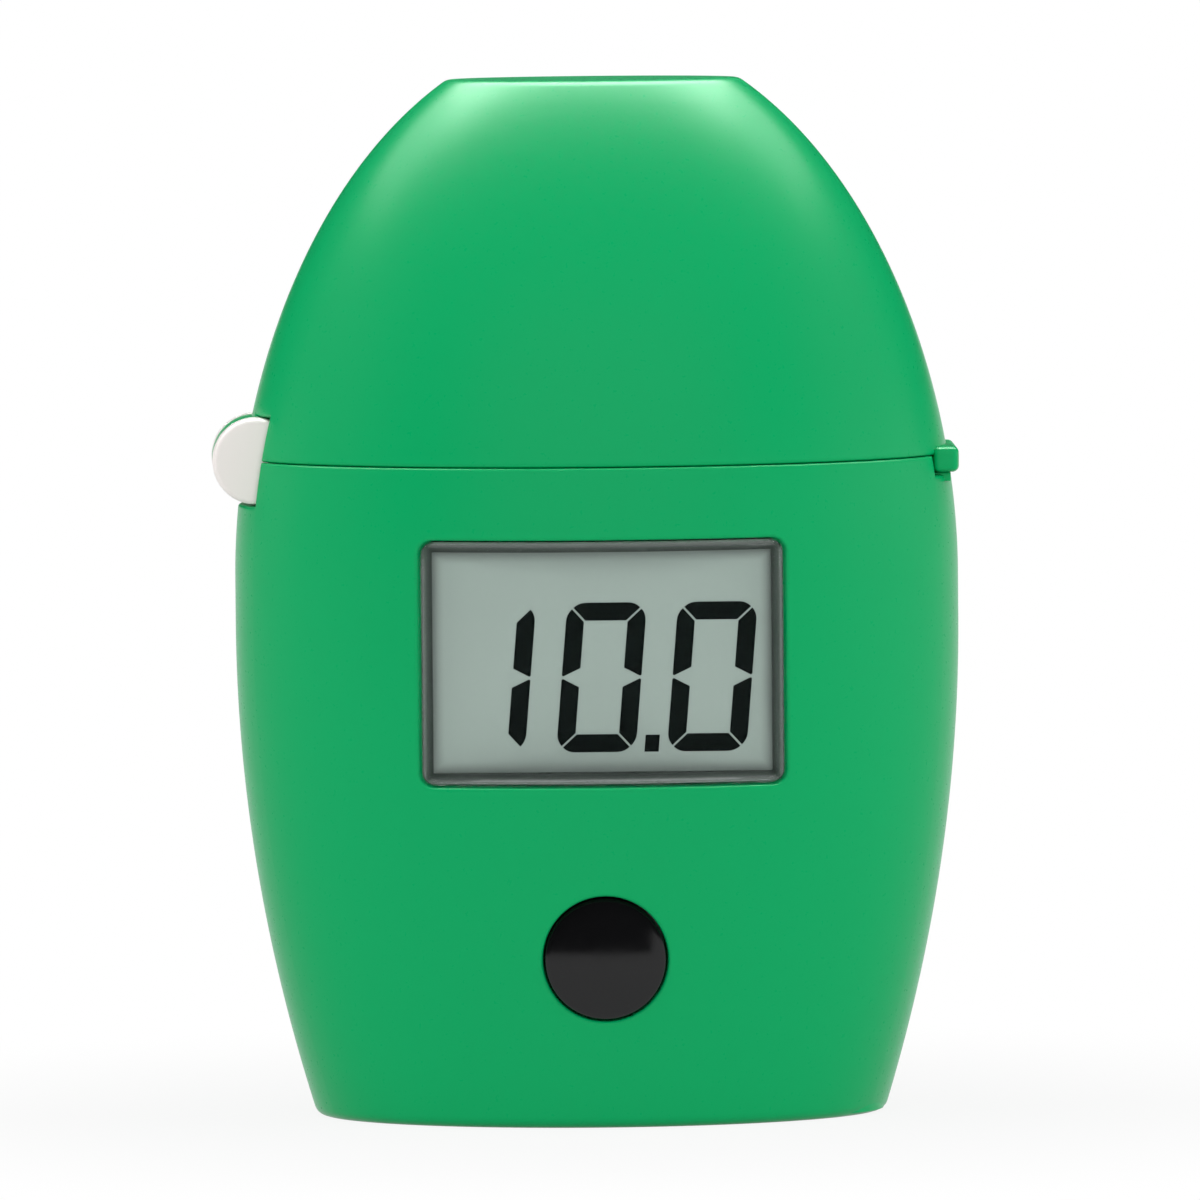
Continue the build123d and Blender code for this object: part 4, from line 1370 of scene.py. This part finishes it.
# %% Moulded plastics
def moulded(name, base, shade, roughness, grain=2600.0, relief=0.04, gloss=0.35, **extra):
    """Moulded plastic: slow tone changes, a fine grain in its gloss and a shallow matching relief."""
    finish = Finish(name)
    slow = finish.noise(45.0)
    fine = finish.noise(grain, 3.0, 0.6)
    return finish.done(
        Base_Color=finish.mix(slow, colour(*base), colour(*shade)),
        Roughness=fine * 0.16 + (roughness - 0.08),
        Normal=finish.bump(fine, relief, 0.00002),
        Specular_IOR_Level=gloss,
        **extra,
    )


green = moulded("green_satin", (0.0, 0.41, 0.128), (0.0, 0.395, 0.122), 0.30, gloss=0.15, relief=0.16)
white = moulded("white_satin", (0.95, 0.89, 0.865), (0.93, 0.87, 0.845), 0.42)
black = moulded("black_matt", (0.012, 0.012, 0.013), (0.016, 0.016, 0.017), 0.62, relief=0.12)
chip = moulded("chip_epoxy", (0.018, 0.018, 0.02), (0.024, 0.024, 0.026), 0.55, relief=0.2)
gloss_black = moulded(
    "gloss_black", (0.003, 0.003, 0.0035), (0.005, 0.005, 0.0055), 0.16, 900.0, 0.01, gloss=0.34
)
seal = moulded("foam_seal", (0.012, 0.012, 0.012), (0.03, 0.03, 0.03), 0.9, 1500.0, 0.6)
board = moulded("circuit_board", (0.012, 0.10, 0.035), (0.016, 0.125, 0.045), 0.35, 700.0)
cell = moulded("cell_wrap", (0.03, 0.03, 0.035), (0.04, 0.04, 0.045), 0.28, 400.0)


# %% Metals
def metal(name, base, shade, roughness, grain):
    """Plated metal with a fine uneven gloss."""
    finish = Finish(name)
    fine = finish.noise(grain, 4.0, 0.6)
    return finish.done(
        Base_Color=finish.mix(fine, colour(*base), colour(*shade)),
        Metallic=1.0,
        Roughness=fine * 0.2 + (roughness - 0.1),
        Normal=finish.bump(fine, 0.08, 0.00002),
    )


steel = metal("zinc_steel", (0.62, 0.63, 0.64), (0.54, 0.55, 0.57), 0.32, 1800.0)
nickel = metal("nickel_strip", (0.68, 0.65, 0.60), (0.60, 0.58, 0.54), 0.26, 1400.0)

# %% [markdown]
# The pane is clear acrylic, and the display behind it reflects a grey-green, darkened by painted shade
# towards its edges. The frame round it is painted darkest by the display's edge and lighter outwards, as
# painted shade and light. The ink is nearly black.

# %% Clear and display finishes
def border_distance(finish, half_x, half_z):
    """How far a point lies outside a rectangle round the window's middle, in metres, negative inside."""
    place = make_node(finish.tree, "ShaderNodeSeparateXYZ", {}, {0: finish.place})
    height = make_node(finish.tree, "ShaderNodeSeparateXYZ", {}, {0: finish.place}, output=2)
    across = place.math("ABSOLUTE", place, 0) - half_x * MM
    up = height.math("ABSOLUTE", height - window_height * MM, 0) - half_z * MM
    return across.math("MAXIMUM", across, up)


def smooth_share(finish, value, start, end):
    """Share from 0 to 1 as a value runs between two lengths in millimetres."""
    settings = {"interpolation_type": "SMOOTHSTEP"}
    return make_node(finish.tree, "ShaderNodeMapRange", settings, {0: value, 1: start * MM, 2: end * MM})


pane_finish = Finish("clear_acrylic")
pane_rim = border_distance(pane_finish, window_half_width - pane_fit, window_half_height - pane_fit)
pane_material = pane_finish.done(
    Base_Color=colour(0.97, 0.99, 0.98),
    Roughness=pane_finish.noise(300.0) * 0.03,
    Transmission_Weight=1.0,
    IOR=1.07,
    Coat_Weight=smooth_share(pane_finish, pane_rim, -0.62, -0.4),
    Coat_Roughness=0.08,
    Coat_IOR=1.7,
)
frame_band_side = 1.25
frame_band_top = 1.05
display_half_x = window_half_width - frame_band_side
display_half_z = window_half_height - frame_band_top
band_finish = Finish("display_surround")
# Painted shade and light: the frame's grey is darkest at the display's edge and lightens outwards.
band = border_distance(band_finish, display_half_x, display_half_z)
painted_shade_fade = smooth_share(band_finish, band, 0.05, 0.75)
frame_painted_shade_and_light = band_finish.mix(painted_shade_fade, colour(0.045, 0.055, 0.05), colour(0.14, 0.17, 0.155))
frame_grey = band_finish.done(
    Base_Color=frame_painted_shade_and_light,
    Roughness=band_finish.noise(900.0) * 0.1 + 0.5,
    Specular_IOR_Level=0.2,
)
display_finish = Finish("display_grey")
display_border = border_distance(display_finish, display_half_x, display_half_z)
# Painted shade: over its last millimetre the display's grey-green darkens towards the frame.
shade = smooth_share(display_finish, display_border, -1.1, 0.1)
display_tone = display_finish.mix(
    display_finish.noise(120.0), colour(0.415, 0.49, 0.455), colour(0.40, 0.475, 0.44)
)
display_material = display_finish.done(
    Base_Color=display_finish.mix(shade, display_tone, colour(0.26, 0.30, 0.28)),
    Roughness=display_finish.noise(3000.0) * 0.1 + 0.4,
    Specular_IOR_Level=0.1,
)
ink_material = moulded("display_ink", (0.0055, 0.0085, 0.008), (0.007, 0.010, 0.0095), 0.6, gloss=0.0)
lamp_finish = Finish("lamp_epoxy")
lamp_material = lamp_finish.done(
    Base_Color=colour(0.78, 0.93, 0.80),
    Roughness=lamp_finish.noise(800.0) * 0.05 + 0.03,
    Transmission_Weight=0.9,
    IOR=1.5,
)
filter_finish = Finish("filter_glass")
filter_tone = filter_finish.mix(
    filter_finish.noise(90.0), colour(0.2, 0.5, 0.32), colour(0.25, 0.4, 0.5)
)
filter_material = filter_finish.done(
    Base_Color=filter_tone,
    Roughness=filter_finish.noise(500.0) * 0.03 + 0.02,
    Metallic=0.6,
)

# %% Finish for every piece
node_finishes = [
    (green, ["body_shell", "lid_shell", "battery_cover"]),
    (white, ["chassis"]),
    (black, ["cuvette_holder", "lid_liner"]),
    (seal, ["light_gasket"]),
    (pane_material, ["display_window"]),
    (frame_grey, ["lcd_frame"]),
    (display_material, ["lcd_panel"]),
    (gloss_black, ["power_button"]),
    (board, ["main_pcb", "detector_board"]),
    (chip, ["microcontroller", "pcb_components", "tact_switch", "switch_plunger", "photodetector"]),
    (lamp_material, ["led_lamp"]),
    (filter_material, ["bandpass_filter"]),
    (cell, ["battery_cell"]),
    (nickel, ["lcd_pins", "battery_spring", "battery_positive_contact", "battery_negative_strip"]),
    (steel, ["hinge_pin", "battery_cover_screw", "chassis_screws", "pcb_screws"]),
]
piece_finishes = [
    (green, [casing_body, casing_lid, cover_plate]),
    (white, [hinge_knuckles]),
    (pane_material, [window_pane]),
    (ink_material, [display_digits]),
    (gloss_black, [button]),
    (steel, screw_objects),
]


def put_on(obj, material):
    """Puts one material in every slot of an object."""
    if len(obj.material_slots) == 0:
        obj.data.materials.append(material)
    for place in obj.material_slots:
        place.material = material


for material, nodes in node_finishes:
    for node in nodes:
        put_on(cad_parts[node], material)
for material, pieces in piece_finishes:
    for piece in pieces:
        put_on(piece, material)
print("finishes", len(bpy.data.materials))

# %% [markdown]
# The instrument stands on a white sheet. The floor mixes a plain white surface, which takes the shadow,
# with the white that the camera and the reflections see, so it looks white without more light on the
# object. Away from the object the white takes over, and close to it the soft shadow stays.

# %% Floor and world
floor_half_width = 2.0
floor_front = -2.3
floor_back = 6.0
corners = np.array([
    [-floor_half_width, floor_front, 0],
    [floor_half_width, floor_front, 0],
    [floor_half_width, floor_back, 0],
    [-floor_half_width, floor_back, 0],
])
floor = plain_object("floor", corners, [[0, 1, 2, 3]])
near_white = 0.89


def seen_rays(tree):
    """One for rays that look at the background: from the camera, off gloss or through glass."""
    total = 0
    for ray in ("Is Camera Ray", "Is Glossy Ray", "Is Transmission Ray"):
        total = make_node(tree, "ShaderNodeLightPath", output=ray) + total
    return make_node(tree, "ShaderNodeMath", {"operation": "MINIMUM"}, {0: total, 1: 1.0})


floor_paper = bpy.data.materials.new("white_paper")
tree = empty_tree(floor_paper)
floor_place = make_node(tree, "ShaderNodeTexCoord", output="Object")
paper = make_node(tree, "ShaderNodeBsdfDiffuse", {}, {"Color": colour(0.62, 0.62, 0.62)})
glow = make_node(tree, "ShaderNodeEmission", {}, {"Color": colour(1, 1, 1), "Strength": 1.0})
length = {"operation": "LENGTH"}
reach = make_node(tree, "ShaderNodeVectorMath", length, {0: floor_place}, output="Value")
smooth = {"interpolation_type": "SMOOTHSTEP"}
far = make_node(tree, "ShaderNodeMapRange", smooth, {0: reach, 1: 0.03, 2: 0.09})
white_share = seen_rays(tree) * (far * (1 - near_white) + near_white)
blend_white = make_node(tree, "ShaderNodeMixShader", {}, {0: white_share, 1: paper, 2: glow})
make_node(tree, "ShaderNodeOutputMaterial", {}, {"Surface": blend_white})
put_on(floor, floor_paper)

world = bpy.data.worlds.new("studio")
bpy.context.scene.world = world
tree = empty_tree(world)
fill = 0.3
sky = make_node(tree, "ShaderNodeBackground", {}, {
    "Color": colour(1, 1, 1), "Strength": seen_rays(tree) * (1 - fill) + fill,
})
make_node(tree, "ShaderNodeOutputWorld", {}, {"Surface": sky})


# %% [markdown]
# Large soft panels light the object from the front and from both sides, and reflections don't see them.
# Two wide ones hang over the crown and are seen by reflections only, where they make its soft highlight.

# %% Lamps
def hide_from(obj, *rays):
    """Makes an object unseen by some kinds of rays."""
    for ray in rays:
        setattr(obj, "visible_" + ray, False)


def softbox(name, place, target, width, height, power):
    """Area lamp that faces a target."""
    data = bpy.data.lights.new(name, "AREA")
    data.shape = "RECTANGLE"
    data.size = width
    data.size_y = height
    data.energy = power
    lamp = bpy.data.objects.new(name, data)
    aim = Vector(target) - Vector(place)
    lamp.matrix_world = Matrix.Translation(place) @ aim.to_track_quat("-Z", "Y").to_matrix().to_4x4()
    bpy.context.scene.collection.objects.link(lamp)
    return lamp


middle = (0.0, 0.0, 0.05)
softbox("top_softbox", (0.0, 0.0, 0.60), middle, 0.9, 0.3, 1.5)
for name, place, width, height, power in (
    ("front_fill", (0.05, -1.2, 0.45), 1.4, 0.9, 6.8),
    ("right_panel", (0.95, -0.1, 0.30), 1.0, 0.8, 4.8),
    ("left_panel", (-0.95, -0.1, 0.30), 1.0, 0.8, 4.5),
):
    hide_from(softbox(name, place, middle, width, height, power), "glossy")
behind = 0.12
for name, width, depth, height, power in (
    ("crown_strip", 1.3, 0.38, 0.58, 12.0),
    ("crown_middle", 0.6, 0.36, 0.57, 14.0),
):
    strip = softbox(name, (0.0, behind, height), (0.0, behind, 0.0), width, depth, power)
    hide_from(strip, "diffuse", "transmission")
print("lamps", len(bpy.data.lights))

# %% [markdown]
# A photographer hangs a dark cloth round the camera, so that a satin front keeps its full colour and a
# black button stays black, while the sides mirror the white room. The cloth here is an upright arc
# behind the camera. At the sides and behind the object it hangs higher and lets the white room show
# below it, which gives the flanks their light edges. Only reflections see it.

# %% Dark cloth
cloth_radius = 2.2
cloth_height = 4.4
cloth_degrees = np.linspace(-180, 180, 361)
cloth_turn = np.radians(cloth_degrees)
cloth_low = np.where(np.abs(cloth_degrees) > 110, 0.16, 0.5)
cloth_low = np.where((cloth_degrees > -89) & (cloth_degrees < 33), 0.0, cloth_low)
cloth_x = cloth_radius * np.sin(cloth_turn)
cloth_y = -cloth_radius * np.cos(cloth_turn)
cloth_line = np.stack([cloth_x, cloth_y, cloth_low], axis=1)
cloth_top = cloth_line * [1, 1, 0] + [0, 0, cloth_height]
cloth_faces = grid_faces(2, len(cloth_turn)).tolist()
cloth = plain_object("dark_cloth", np.concatenate([cloth_line, cloth_top]), cloth_faces)
hide_from(cloth, "camera", "diffuse", "shadow")
put_on(cloth, moulded("dark_cloth", (0.01, 0.01, 0.01), (0.014, 0.014, 0.014), 0.9, 200.0))

# %% [markdown]
# The camera stands far away with a long lens, a little to the left and a little above, so the crown's
# flat shows as a thin band and the base edge bows gently.

# %% Camera
camera_distance = 1.70
camera_height = 0.153
camera_side = math.radians(-1.5)
camera_roll = math.radians(-0.5)
aim_point = Vector((0.00025, 0.0, 0.0426))
frame_width = 0.0995
sensor = 36.0
camera_data = bpy.data.cameras.new("camera")
camera_data.sensor_width = sensor
camera_data.lens = sensor * camera_distance / frame_width
camera_data.clip_end = 20.0
camera = bpy.data.objects.new("camera", camera_data)
place = Vector((
    camera_distance * math.sin(camera_side),
    -camera_distance * math.cos(camera_side),
    camera_height,
))
aim = aim_point - place
turned_to = aim.to_track_quat("-Z", "Y").to_matrix().to_4x4()
camera.matrix_world = Matrix.Translation(place) @ turned_to @ Matrix.Rotation(camera_roll, 4, "Z")
bpy.context.scene.collection.objects.link(camera)
bpy.context.scene.camera = camera
bpy.context.scene.view_settings.view_transform = "Standard"
